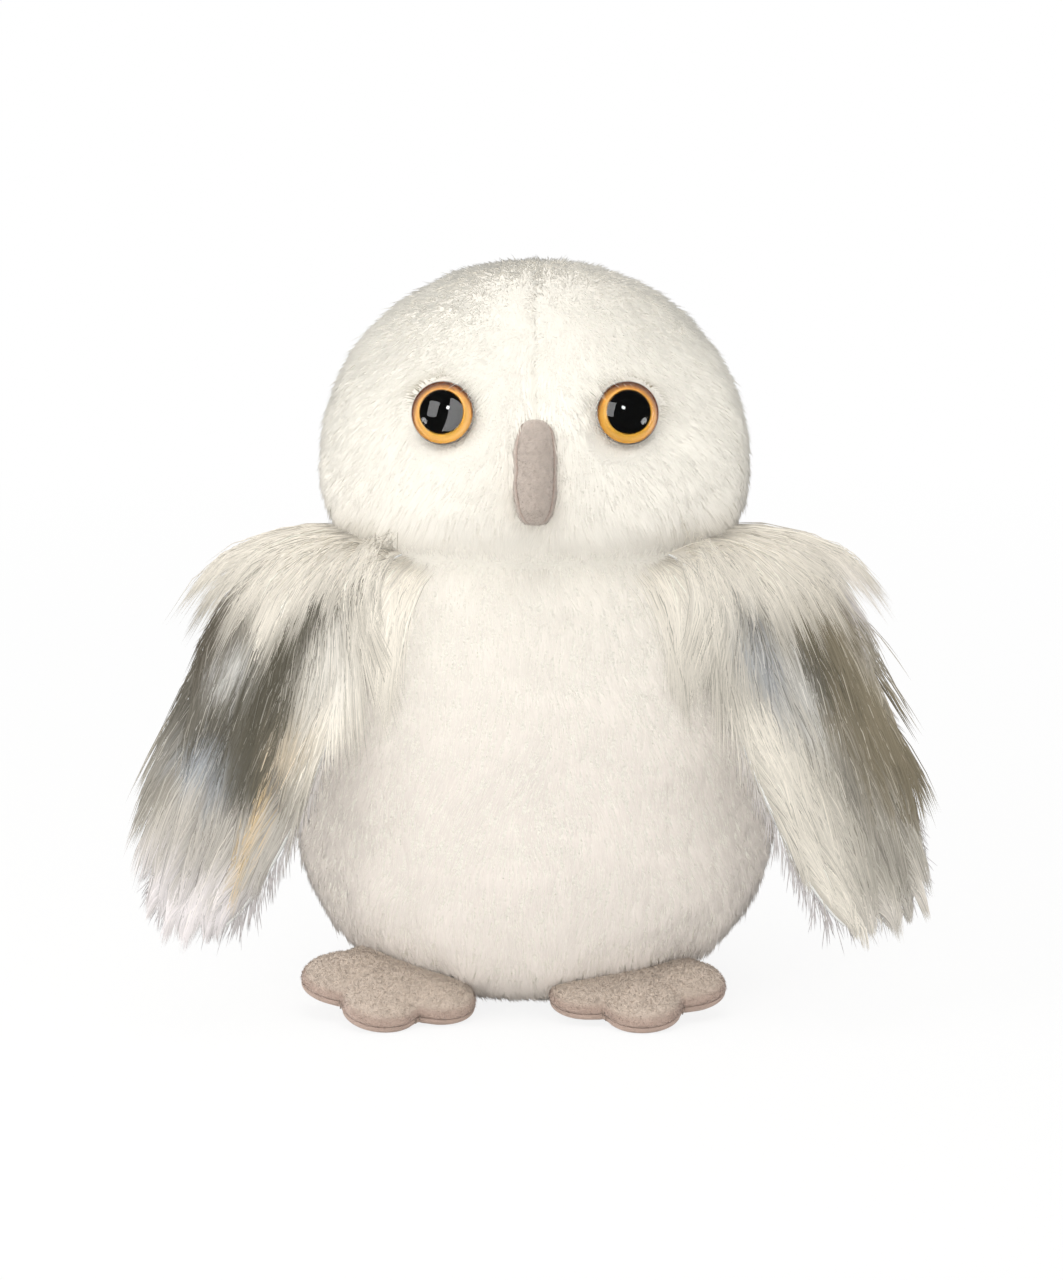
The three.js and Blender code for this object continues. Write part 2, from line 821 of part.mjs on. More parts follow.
// The place and the directions of a flap at a share of its length: along it, across it towards
// the owl's back, and out of its outer face.
function flapFrame(flap, share) {
  const out = new THREE.Vector3(Math.sin(flap.heading), -Math.cos(flap.heading), 0);
  const up = new THREE.Vector3(0, 0, 1);
  const across = new THREE.Vector3().crossVectors(up, out);
  const root = onForm(bodyForm, shareAt(bodyForm, flap.rootHeight), flap.heading);
  root.addScaledVector(out, seamGap + (flap.rootThickness / 2) * Math.sin(flap.startDroop));

  const bend = flap.length * flap.bendShare;
  const run = Math.min(share * flap.length, bend);
  const rate = (flap.endDroop - flap.startDroop) / bend;
  const droop = flap.startDroop + rate * run;
  const straight = share * flap.length - run;
  const outward = (Math.sin(droop) - Math.sin(flap.startDroop)) / rate;
  const downward = (Math.cos(flap.startDroop) - Math.cos(droop)) / rate;
  const place = root
    .addScaledVector(out, outward + straight * Math.cos(droop))
    .addScaledVector(up, -downward - straight * Math.sin(droop));
  const along = out.clone().multiplyScalar(Math.cos(droop)).addScaledVector(up, -Math.sin(droop));
  const face = out.clone().multiplyScalar(Math.sin(droop)).addScaledVector(up, Math.cos(droop));
  const turn = flap.twist * THREE.MathUtils.smoothstep(share, 0, flap.wideShare);
  across.applyAxisAngle(along, turn);
  face.applyAxisAngle(along, turn);
  return { place, across, face };
}

// A flap's half-width: from its root out to its full width, and in again to a rounded tip.
function flapHalf(flap, share) {
  const filled = THREE.MathUtils.smoothstep(share, 0, flap.wideShare);
  const wide = THREE.MathUtils.lerp(flap.rootWidth, flap.width, filled) / 2;
  const past = Math.max(0, (share - flap.wideShare) / (1 - flap.wideShare));
  return swell(wide, flap.tipWidth / 2, past, flapPower);
}

// One layer of a flap, between two heights over its middle sheet.
function flapLayer(flap, low, high, mirrored) {
  const rows = steps(0, 1, flapRows);
  const columns = steps(-1, 1, flapColumns);
  const grid = (height) =>
    rows.map((share) => {
      const { place, across, face } = flapFrame(flap, share);
      const puff = THREE.MathUtils.smoothstep(share, 0, rootPuffShare);
      const whole = longPileCloth + wadding + liningCloth;
      const thin = flap.rootThickness / whole;
      return columns.map((side) => {
        const crown = 1 - (1 - edgeShare) * side ** 2;
        const raised = height * crown * THREE.MathUtils.lerp(thin, 1, puff);
        const point = place
          .clone()
          .addScaledVector(across, side * flapHalf(flap, share))
          .addScaledVector(face, raised);
        return mirrored ? point.setX(-point.x) : point;
      });
    });
  return slab(grid(high), grid(low));
}

// A flap's three layers. The heights are set so that the layers keep the gap at their thinnest.
function flapPieces(flap, names, mirrored) {
  const thinnest = (edgeShare * flap.rootThickness) / (longPileCloth + wadding + liningCloth);
  const gap = (seamGap * 0.5) / thinnest;
  const top = wadding / 2 + longPileCloth;
  const bottom = -wadding / 2 - liningCloth;
  const spare = Math.min(gap, (wadding * 2) / 3) / 2;
  const group = new THREE.Group();
  group.add(
    named(names[0], flapLayer(flap, wadding / 2 + spare, top, mirrored), materials.greyPile),
    named(
      names[1],
      flapLayer(flap, -wadding / 2 + spare, wadding / 2 - spare, mirrored),
      materials.fibre,
    ),
    named(names[2], flapLayer(flap, bottom, -wadding / 2 - spare, mirrored), materials.lining),
  );
  return group;
}

const wingNames = (side) => [
  `${side}_wing_fur_panel`,
  `${side}_wing_wadding`,
  `${side}_wing_lining`,
];

const owl = new THREE.Group();
owl.add(
  bodyPieces(),
  headPieces(),
  flapPieces(wing, wingNames("left"), false),
  flapPieces(wing, wingNames("right"), true),
  flapPieces(tail, ["tail_fur_panel", "tail_wadding", "tail_lining"], false),
  footPieces(feet.left, "left"),
  footPieces(feet.right, "right"),
);

export default owl;
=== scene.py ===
"""A stuffed owl, made by sewing: cloth panels under a pile of modelled fibres, safety eyes, a
seamed beak, padded feet, and wings and a tail of long pile. Sizes are in millimetres until a
mesh is made, which is in metres."""

import functools
import math

import bpy
import numpy as np
from bpy.props import FloatProperty, FloatVectorProperty, IntProperty, PointerProperty
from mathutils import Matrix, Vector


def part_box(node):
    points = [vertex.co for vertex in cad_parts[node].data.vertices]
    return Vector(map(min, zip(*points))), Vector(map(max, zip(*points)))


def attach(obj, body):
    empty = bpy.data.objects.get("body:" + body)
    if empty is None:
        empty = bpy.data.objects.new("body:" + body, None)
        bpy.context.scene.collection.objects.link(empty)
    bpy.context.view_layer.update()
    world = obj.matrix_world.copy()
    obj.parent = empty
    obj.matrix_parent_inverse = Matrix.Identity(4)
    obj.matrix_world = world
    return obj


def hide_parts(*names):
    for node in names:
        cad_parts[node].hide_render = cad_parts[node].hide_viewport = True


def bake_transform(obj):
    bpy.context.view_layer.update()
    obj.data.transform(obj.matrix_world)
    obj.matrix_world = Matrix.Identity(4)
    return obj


bl_info = {
    "name": "Plush owl",
    "version": (1, 0, 0),
    "blender": (4, 5, 0),
    "location": "3D View > Sidebar > Owl",
    "description": "Cloth, pile, eyes, beak, feet and stage of a stuffed owl",
    "category": "Object",
}

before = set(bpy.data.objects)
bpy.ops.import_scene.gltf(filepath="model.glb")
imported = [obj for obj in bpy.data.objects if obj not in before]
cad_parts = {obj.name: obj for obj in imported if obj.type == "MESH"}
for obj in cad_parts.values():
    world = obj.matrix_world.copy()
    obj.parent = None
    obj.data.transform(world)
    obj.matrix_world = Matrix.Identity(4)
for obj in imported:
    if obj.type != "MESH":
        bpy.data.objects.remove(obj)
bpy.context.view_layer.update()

MM = 0.001
UP = np.array([0.0, 0.0, 1.0])
NO_FLOOR = -1e9

# Round forms, as the model has them: an angle of 0 is the front, and 90 the owl's left.
BODY = {
    "bottom": -1.6,
    "middle": 60.0,
    "top": 138.35,
    "halves": (69.5, 57.0),
    "bottom_halves": (0.0, 0.0),
    "top_halves": (56.0, 48.0),
    "lower_power": 2.45,
    "upper_power": 2.2,
    "floor": 0.0,
    "seams": ((90, 1.2), (180, 1.2), (-90, 1.2)),
}
HEAD = {
    "bottom": 138.65,
    "middle": 153.5,
    "top": 210.5,
    "halves": (61.5, 58.0),
    "bottom_halves": (56.0, 48.0),
    "top_halves": (0.0, 0.0),
    "lower_power": 2.6,
    "upper_power": 2.0,
    "floor": NO_FLOOR,
    "seams": ((0, 2.2), (90, 1.2), (180, 1.2), (-90, 1.2)),
}
BEAK = {
    "bottom": -14.75,
    "middle": 0.0,
    "top": 14.75,
    "halves": (6.15, 8.0),
    "bottom_halves": (0.0, 0.0),
    "top_halves": (0.0, 0.0),
    "lower_power": 3.0,
    "upper_power": 3.0,
    "floor": NO_FLOOR,
    "seams": (),
}
SEAM_REACH = 9.0  # degrees round from a seam, over which it draws the cloth in
BASE_SEAM = 9.0  # height of the seam between the base and the panels over it
CLOTH_FACE, CLOTH_BACK = 1.2, 5.7  # how deep the plush's backing lies under the form
FILLING_DEPTH = 6.4
VELOUR = 1.3  # thickness of the cloth of the beak and feet
PANELS = {
    "body_front": (BODY, -90, 90),
    "body_back_left": (BODY, 90, 180),
    "body_back_right": (BODY, -180, -90),
    "head_face_left": (HEAD, 0, 90),
    "head_face_right": (HEAD, -90, 0),
    "head_back_left": (HEAD, 90, 180),
    "head_back_right": (HEAD, -180, -90),
}
EYE = {"height": 176.0, "spacing": 52.0, "turn": 8.0, "tilt": 15.0, "sink": 3.4}
# Round an eye: where the fur starts, where it leans away, and where its painted shade starts and
# fades
EYE_FUR = {"bare": 8.6, "lean": (8.0, 14.0), "shade": 9.6, "fade": 2.2}
NECK_BELOW, NECK_ABOVE = (128.0, 138.0), (139.0, 151.0)  # heights where pile fills the neck
POUCH = {"halves": (33.0, 27.0), "foot": 0.75, "middle": 0.4, "power": 2.3}
BEAK_SEAT = {"height": 160.4, "back": 1.0, "tilt": -20.0, "seam": 60.0}
FOOT = {
    "toes": ((-62, 17.0), (0, 19.0), (62, 17.0)),  # turn and reach of each
    "toe": 10.5,
    "heel": 16.0,
    "web": 7,  # how tightly the web between two toes is rounded
    "forward": 29.5,
    "pitch": 14.0,
    "seam": 0.12,
    "crown": 6.4,
    "crown_power": 2.4,
    "sole": 2.8,
    "sole_power": 5,
}
# The side of each foot, how far out it is, and the degrees that it is turned out and rolled
FEET = ((1, 28.0, 8.0, 3.0), (-1, 40.0, 12.0, 9.0))
WING = {
    "heading": 56.0,
    "root_height": 135.0,
    "start": 12.0,
    "end": 67.0,
    "bend": 0.27,
    "length": 119.0,
    "root_width": 40.0,
    "width": 46.0,
    "tip_width": 22.0,
    "wide": 0.38,
    "twist": 31.0,
}
TAIL = {
    "heading": 180.0,
    "root_height": 30.0,
    "start": 30.0,
    "end": 8.0,
    "bend": 0.8,
    "length": 34.0,
    "root_width": 30.0,
    "width": 38.0,
    "tip_width": 18.0,
    "wide": 0.5,
    "twist": 0.0,
}


def paint(red, green, blue):
    """A colour written in 0 to 255 as the screen shows it, turned into the light it stands for."""
    shown = np.array([red, green, blue]) / 255
    low = shown / 12.92
    high = ((shown + 0.055) / 1.055) ** 2.4
    return tuple(float(c) for c in np.where(shown <= 0.04045, low, high))


# Settings a user may change


def millimetres(name, description, default):
    size = default * MM
    return FloatProperty(name=name, description=description, default=size, unit="LENGTH")


def colour(name, description, *shown):
    texts = {"name": name, "description": description}
    return FloatVectorProperty(
        **texts, default=paint(*shown), subtype="COLOR", size=3, min=0, max=1
    )


class OwlPlush(bpy.types.PropertyGroup):
    """The short white pile of the head and body."""

    root: millimetres("Root depth", "How deep the fibres start", 2.2)
    rise: millimetres("Rise", "How far a mean fibre tip stands over the form", 0.3)
    fibre: millimetres("Fibre", "Half the width of a fibre", 0.2)
    density: FloatProperty(name="Density", description="Fibres to a square mm", default=1.88)
    lean: FloatProperty(
        name="Lean",
        description="How far a fibre leans",
        default=math.radians(56),
        subtype="ANGLE",
    )
    tuft: millimetres("Tuft", "Width of a tuft of fibres", 3.4)
    head: colour("Head", "Pile of the head", 250, 246, 235)
    # Painted shade: the lower body's pile is darker than the head's, and pinker
    body: colour("Body", "Pile of the lower body", 235, 226, 218)
    # Painted shade: darker than the head's pile, for the fibres near the cloth; the backing takes
    # this tone too
    root_colour: colour("Root", "Pile near the cloth", 243, 237, 227)
    # Painted shade: the pile's colour down in the hollows round the eyes, round the neck and along
    # the forehead seam
    hollow: colour("Hollow", "Pile down in the hollows", 150, 139, 114)


class OwlEyes(bpy.types.PropertyGroup):
    """Moulded safety eyes."""

    diameter: millimetres("Diameter", "Across the dome", 18.0)
    rise: millimetres("Rise", "Height of the dome", 6.2)
    pupil: millimetres("Pupil", "Across the pupil", 11.5)
    gold: colour("Gold", "The iris next to the pupil", 246, 184, 60)
    amber: colour("Amber", "The middle of the iris", 226, 140, 30)
    rust: colour("Rust", "The outer rim of the iris", 110, 54, 12)


class OwlVelour(bpy.types.PropertyGroup):
    """The short grey-beige cloth of the beak and feet."""

    beak: colour("Beak", "Nap of the beak", 193, 180, 170)
    foot: colour("Feet", "Nap of the feet", 210, 194, 180)
    seam: colour("Seam", "Cloth in the seams", 190, 164, 152)
    thread: colour("Thread", "Sewing thread", 150, 134, 122)
    nap: millimetres("Nap", "Length of the nap", 0.8)


class OwlLongPile(bpy.types.PropertyGroup):
    """The long pile of the wings and tail."""

    count: IntProperty(name="Fibres", description="Long fibres on a wing", default=11000)
    shoulder: IntProperty(name="Shoulder", description="Fibres over its root", default=2600)
    length: millimetres("Length", "Of a mean long fibre", 27.0)
    fibre: millimetres("Fibre", "Half the width of a long fibre", 0.16)
    lock: millimetres("Lock", "Width of a lock of fibres", 5.0)
    cream: colour("Cream", "Light locks", 238, 231, 218)
    taupe: colour("Taupe", "Dark locks", 88, 84, 74)
    slate: colour("Slate", "Blue-grey locks", 164, 168, 172)
    tan: colour("Tan", "Golden locks", 206, 182, 144)
    lilac: colour("Lilac", "Pale tips", 220, 214, 214)


class OwlStage(bpy.types.PropertyGroup):
    """Camera, lamps and floor."""

    distance: FloatProperty(
        name="Distance", description="Camera to owl", default=2.4, unit="LENGTH"
    )
    elevation: FloatProperty(
        name="Elevation",
        description="Of the camera",
        default=math.radians(12),
        subtype="ANGLE",
    )
    frame_height: FloatProperty(
        name="Frame height",
        description="Seen at the owl's distance",
        default=0.3652,
        unit="LENGTH",
    )
    key: FloatProperty(name="Key", description="Radiance of the window lamp", default=1.5)
    sky: FloatProperty(name="Sky", description="Strength of the room's light", default=0.69)


GROUPS = {
    "owl_plush": OwlPlush,
    "owl_eyes": OwlEyes,
    "owl_velour": OwlVelour,
    "owl_long_pile": OwlLongPile,
    "owl_stage": OwlStage,
}


def setting(group, name):
    """A length that a user may change, in millimetres."""
    return getattr(getattr(bpy.context.scene, group), name) / MM


def tone(group, name):
    """A colour that a user may change."""
    return np.array(getattr(getattr(bpy.context.scene, group), name))


# Numbers in space


def unit(vectors):
    """Each vector divided by its length."""
    return vectors / np.maximum(np.linalg.norm(vectors, axis=-1, keepdims=True), 1e-12)


def ease(value, low, high):
    """0 below low, 1 above high, and three squares less two cubes of the way between."""
    part = np.clip((value - low) / (high - low), 0, 1)
    return part * part * (3 - 2 * part)


def mix(first, second, part):
    return first + (second - first) * part


def lattice(cell, seed):
    """A number from 0 to 1 for each whole-numbered cell: its three numbers times large primes,
    folded together and shuffled."""
    mixed = cell[..., 0] * 73856093 ^ cell[..., 1] * 19349663 ^ cell[..., 2] * 83492791
    mixed = (mixed ^ (seed + 1) * 2654435761) & 0xFFFFFFFF
    mixed = ((mixed ^ (mixed >> 15)) * 2246822519) & 0xFFFFFFFF
    mixed = ((mixed ^ (mixed >> 13)) * 3266489917) & 0xFFFFFFFF
    return ((mixed ^ (mixed >> 16)) & 0xFFFFFF) / 0xFFFFFF


def clouds(points, size, seed):
    """Smooth noise from 0 to 1: the eight corners of each point's cell, mixed by eased parts."""
    at = points / size
    cell = np.floor(at).astype(np.int64)
    part = at - cell
    part = part * part * (3 - 2 * part)
    total = 0.0
    for corner in np.ndindex(2, 2, 2):
        weight = np.prod(np.where(corner, part, 1 - part), axis=-1)
        total = total + weight * lattice(cell + np.array(corner), seed)
    return total


def tufts(points, size, seed):
    """For each point the nearest of the jittered points of a cubic lattice, which stands for a
    tuft, and a number from 0 to 1 of that tuft's own."""
    cell = np.floor(points / size).astype(np.int64)
    best = np.full(len(points), 1e9)
    place = np.zeros_like(points)
    own = np.zeros(len(points))
    for step in np.ndindex(3, 3, 3):
        here = cell + np.array(step) - 1
        jitter = np.stack([lattice(here, seed + k) for k in range(3)], axis=-1)
        centre = (here + jitter) * size
        away = np.linalg.norm(points - centre, axis=1)
        near = away < best
        best = np.where(near, away, best)
        place = np.where(near[:, None], centre, place)
        own = np.where(near, lattice(here, seed + 3), own)
    return place, own


def added_up(lengths):
    """The running total of some lengths, from 0."""
    return np.concatenate([[0], np.cumsum(lengths)])


def around_at(angle):
    """The level direction round a form at an angle, from its front to the owl's left."""
    turn = np.radians(angle)
    return np.stack([np.cos(turn), np.sin(turn), 0 * turn], -1)


def outwards_at(angle):
    """The level direction out of a form at an angle."""
    turn = np.radians(angle)
    return np.stack([np.sin(turn), -np.cos(turn), 0 * turn], -1)


def turn_about(axis, degrees):
    """The matrix of a turn about axis 0, 1 or 2."""
    first, second = (axis + 1) % 3, (axis + 2) % 3
    matrix = np.eye(3)
    matrix[first, first] = matrix[second, second] = math.cos(math.radians(degrees))
    matrix[second, first] = math.sin(math.radians(degrees))
    matrix[first, second] = -matrix[second, first]
    return matrix


def swell(widest, end, share, power):
    """The half-width of a stuffed form: the widest times the root of 1 less a share's power,
    so that share 0 gives the widest and share 1 the end."""
    cut = 1 - (end / widest) ** power
    return widest * np.maximum(0, 1 - cut * share**power) ** (1 / power)


def grown(form, by):
    """The form with its surface moved out by a distance. Open ends stay at their height."""
    moved = {
        name: tuple(size + by if size > 0 else 0.0 for size in form[name])
        for name in ("halves", "bottom_halves", "top_halves")
    }
    bottom = form["bottom"] - (0 if form["bottom_halves"][0] > 0 else by)
    top = form["top"] + (0 if form["top_halves"][0] > 0 else by)
    return {**form, **moved, "bottom": bottom, "top": top, "floor": form["floor"] - by}


def on_form(form, share, angle):
    """Points of a form. The half-widths swell from the middle to each end, the seams draw them
    in by a bell curve of the angle from each, and the angle goes round from the front."""
    share, angle = np.broadcast_arrays(np.asarray(share, float), np.asarray(angle, float))
    upper = share > 0
    size = np.abs(share)
    wide = [
        np.where(
            upper,
            swell(half, top, size, form["upper_power"]),
            swell(half, bottom, size, form["lower_power"]),
        )
        for half, top, bottom in zip(form["halves"], form["top_halves"], form["bottom_halves"])
    ]
    pull = sum(
        depth * np.exp(-((((angle - at + 180) % 360 - 180) / SEAM_REACH) ** 2))
        for at, depth in form["seams"]
    )
    drawn = 1 - pull / form["halves"][0]
    reach = np.where(upper, form["top"] - form["middle"], form["middle"] - form["bottom"])
    turn = np.radians(angle)
    return np.stack(
        [
            wide[0] * drawn * np.sin(turn),
            -wide[1] * drawn * np.cos(turn),
            np.maximum(form["floor"], form["middle"] + share * reach),
        ],
        axis=-1,
    )


def share_at(form, height):
    """The share of a form at a height."""
    over = height - form["middle"]
    reach = form["top"] - form["middle"] if over > 0 else form["middle"] - form["bottom"]
    return over / reach


def normals_of(form, share, angle):
    """Outward directions: the cross product of small steps round the form and up it."""
    share = np.clip(share, -0.9985, 0.9985)
    step = on_form(form, share, angle + 0.6) - on_form(form, share, angle - 0.6)
    rise = on_form(form, share + 0.0015, angle) - on_form(form, share - 0.0015, angle)
    return unit(np.cross(step, rise))


# Shares from end to end of a form, closer together at its ends
FINE_SHARES = np.sin(np.linspace(-90, 90, 4001) * math.pi / 180)


def outline(form, low, high, count):
    """Shares at even steps along a form's outline, found by adding up its small lengths."""
    line = on_form(form, FINE_SHARES, 90.0)[:, [0, 2]]
    length = added_up(np.linalg.norm(np.diff(line, axis=0), axis=1))
    ends = np.interp([low, high], FINE_SHARES, length)
    return np.interp(np.linspace(*ends, count), length, FINE_SHARES)


def scatter(form, low, high, left, right, density, rng):
    """Places spread evenly over a form: shares and angles drawn so that each small ring and
    each small turn gets fibres for its area."""
    dense = np.clip(FINE_SHARES, low, high)
    side, front = on_form(form, dense, 45.0), on_form(form, dense, -45.0)
    radius = np.linalg.norm(side[:, :2], axis=1)
    lengths = np.linalg.norm(np.diff(front, axis=0), axis=1)
    areas = added_up((radius[1:] + radius[:-1]) / 2 * lengths)
    count = int(areas[-1] * math.radians(right - left) * density)
    share = np.interp(rng.random(count) * areas[-1], areas, dense)
    angles = np.linspace(left, right, 721)
    ring = on_form({**form, "seams": ()}, 0.0, angles)
    round_it = added_up(np.linalg.norm(np.diff(ring, axis=0), axis=1))
    angle = np.interp(rng.random(count) * round_it[-1], round_it, angles)
    return share, angle


# Meshes


def new_piece(name, points, faces, body, slot, material, values=None, normals=None):
    """A smooth mesh object from points in millimetres and an array of faces with as many corners
    each, with numbers or colours kept at its points."""
    mesh = bpy.data.meshes.new(name)
    points = np.asarray(points, np.float32) * MM
    faces = np.asarray(faces, np.int32)
    mesh.vertices.add(len(points))
    mesh.vertices.foreach_set("co", points.ravel())
    mesh.loops.add(faces.size)
    mesh.loops.foreach_set("vertex_index", faces.ravel())
    mesh.polygons.add(len(faces))
    starts = np.arange(0, faces.size, faces.shape[1], dtype=np.int32)
    mesh.polygons.foreach_set("loop_start", starts)
    mesh.update(calc_edges=True)
    mesh.validate()
    mesh.polygons.foreach_set("use_smooth", np.ones(len(mesh.polygons), bool))
    for key, value in (values or {}).items():
        value = np.asarray(value, np.float32)
        if value.ndim == 1:
            layer = mesh.attributes.new(key, "FLOAT", "POINT")
            layer.data.foreach_set("value", value)
        else:
            layer = mesh.attributes.new(key, "FLOAT_COLOR", "POINT")
            whole = np.ones((len(value), 4), np.float32)
            whole[:, :3] = value
            layer.data.foreach_set("color", whole.ravel())
    if normals is not None:
        layer = mesh.attributes.new("custom_normal", "FLOAT_VECTOR", "POINT")
        layer.data.foreach_set("vector", np.asarray(normals, np.float32).ravel())
    piece = bpy.data.objects.new(name, mesh)
    bpy.context.scene.collection.objects.link(piece)
    mesh.materials.append(material)
    if body:
        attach(piece, body)
    return piece


def grid_faces(rows, columns, start=0, closed=False):
    """Quads of a grid of points, row by row, which may close on itself across."""
    across = columns if closed else columns - 1
    row, column = np.meshgrid(np.arange(rows - 1), np.arange(across), indexing="ij")
    first = row * columns + column
    second = row * columns + (column + 1) % columns
    return np.stack([first, second, second + columns, first + columns], -1).reshape(-1, 4) + start


def slab(outer, inner):
    """The points and faces of a sheet with a thickness: two grids of points, whose rims are
    joined by quads. Faces point out of the outer grid."""
    rows, columns = outer.shape[:2]
    count = rows * columns
    points = np.concatenate([outer.reshape(-1, 3), inner.reshape(-1, 3)])
    index = np.arange(count).reshape(rows, columns)
    rim = np.concatenate(
        [index[0, :-1], index[:-1, -1], index[-1, :0:-1], index[:0:-1, 0], index[:1, 0]]
    )
    side = np.stack([rim[:-1], rim[:-1] + count, rim[1:] + count, rim[1:]], -1)
    front = grid_faces(rows, columns)
    back = grid_faces(rows, columns, count)[:, ::-1]
    return points, np.concatenate([front, back, side])


def triangles_of(quads):
    """Each quad as two triangles, and those with a doubled corner as one."""
    whole = np.concatenate([quads[:, [0, 1, 2]], quads[:, [0, 2, 3]]])
    return whole[whole_ones(whole)]


def whole_ones(triangles):
    """Which triangles have three different corners."""
    return (triangles != np.roll(triangles, 1, axis=1)).all(axis=1)


def closed_rings(rings):
    """The points and triangles of rings of points, one after another, with a fan about the
    middle of the first ring and of the last."""
    rows, columns = rings.shape[:2]
    points = [rings.reshape(-1, 3), rings[:1].mean(1), rings[-1:].mean(1)]
    faces = [triangles_of(grid_faces(rows, columns, closed=True))]
    for ring, middle in ((0, rows * columns), (rows - 1, rows * columns + 1)):
        index = ring * columns + np.arange(columns)
        following = ring * columns + (np.arange(columns) + 1) % columns
        fan = np.stack([index, following, np.full(columns, middle)], -1)
        faces.append(fan if ring else fan[:, ::-1])
    return np.concatenate(points), np.concatenate(faces)


def outward(points, faces):
    """The same closed shape with its faces turned outwards: its volume is added up from the
    pyramids under its faces, and where that is negative each face is reversed."""
    corners = points[np.asarray(faces)[:, :3]]
    volume = (corners[:, 0] * np.cross(corners[:, 1], corners[:, 2])).sum()
    if faces.shape[1] == 4:
        corners = points[faces[:, [0, 2, 3]]]
        volume += (corners[:, 0] * np.cross(corners[:, 1], corners[:, 2])).sum()
    return points, (faces if volume > 0 else faces[:, ::-1])


def let_light_past(piece):
    """Leaves fibres out of shadows and of bounced light, because real ones let light through."""
    piece.visible_shadow = piece.visible_diffuse = False


def spikes(spine, radius, out):
    """Closed three-sided fibres. Each starts and ends in a point, and between them has a ring
    of three points at each place of its spine: two on its outer side and one behind them, so
    that one flat side faces out. Gives points, triangles, soft normals and how many points a
    fibre has."""
    count, places = spine.shape[:2]
    along = unit(np.gradient(spine, axis=1))
    out = unit(out - (out * along).sum(-1, keepdims=True) * along)
    side = np.cross(along, out)
    turns, spread = np.radians([30, 150, 270]), 0.45
    rings = places - 2
    centre, wide = spine[:, 1:-1, None], radius[:, 1:-1, None, None]
    spoke = (
        side[:, 1:-1, None] * np.cos(turns)[:, None] + out[:, 1:-1, None] * np.sin(turns)[:, None]
    )
    ring = (centre + spoke * wide).reshape(count, rings * 3, 3)
    points = np.concatenate([spine[:, :1], ring, spine[:, -1:]], axis=1)
    shown = np.where(
        (turns > math.pi)[:, None],
        -out[:, 1:-1, None],
        out[:, 1:-1, None] + spread * side[:, 1:-1, None] * np.sign(np.cos(turns))[:, None],
    )
    soft = unit(
        np.concatenate([out[:, :1], shown.reshape(count, rings * 3, 3), out[:, -1:]], axis=1)
    )
    last = 1 + rings * 3
    faces = [(0, 1 + k, 1 + (k + 1) % 3) for k in range(3)]
    for r in range(rings - 1):
        for k in range(3):
            a, b = 1 + 3 * r + k, 1 + 3 * r + (k + 1) % 3
            faces += [(a, a + 3, b + 3), (a, b + 3, b)]
    faces += [(last - 3 + k, last, last - 3 + (k + 1) % 3) for k in range(3)]
    faces = np.array(faces)
    every = (faces[None] + np.arange(count)[:, None, None] * (last + 1)).reshape(-1, 3)
    return points.reshape(-1, 3), every, soft.reshape(-1, 3), last + 1


# Materials


class Value:
    """A number that varies over a surface. An expression on it adds the Math nodes."""

    def __init__(self, finish, socket):
        self.finish, self.socket = finish, socket

    def _math(self, operation, *sources):
        return self.finish.node("Math", {"operation": operation}, sources)

    def __add__(self, other):
        return self._math("ADD", self, other)

    def __sub__(self, other):
        return self._math("SUBTRACT", self, other)

    def __rsub__(self, other):
        return self._math("SUBTRACT", other, self)

    def __mul__(self, other):
        return self._math("MULTIPLY", self, other)

    def most(self, other):
        return self._math("MAXIMUM", self, other)

    def clamped(self, low, high):
        """0 at low and 1 at high, held between them."""
        return self.finish.node(
            "MapRange",
            {"clamp": True},
            {"Value": self, "From Min": low, "From Max": high, "To Min": 0.0, "To Max": 1.0},
        )

    __radd__ = __add__
    __rmul__ = __mul__


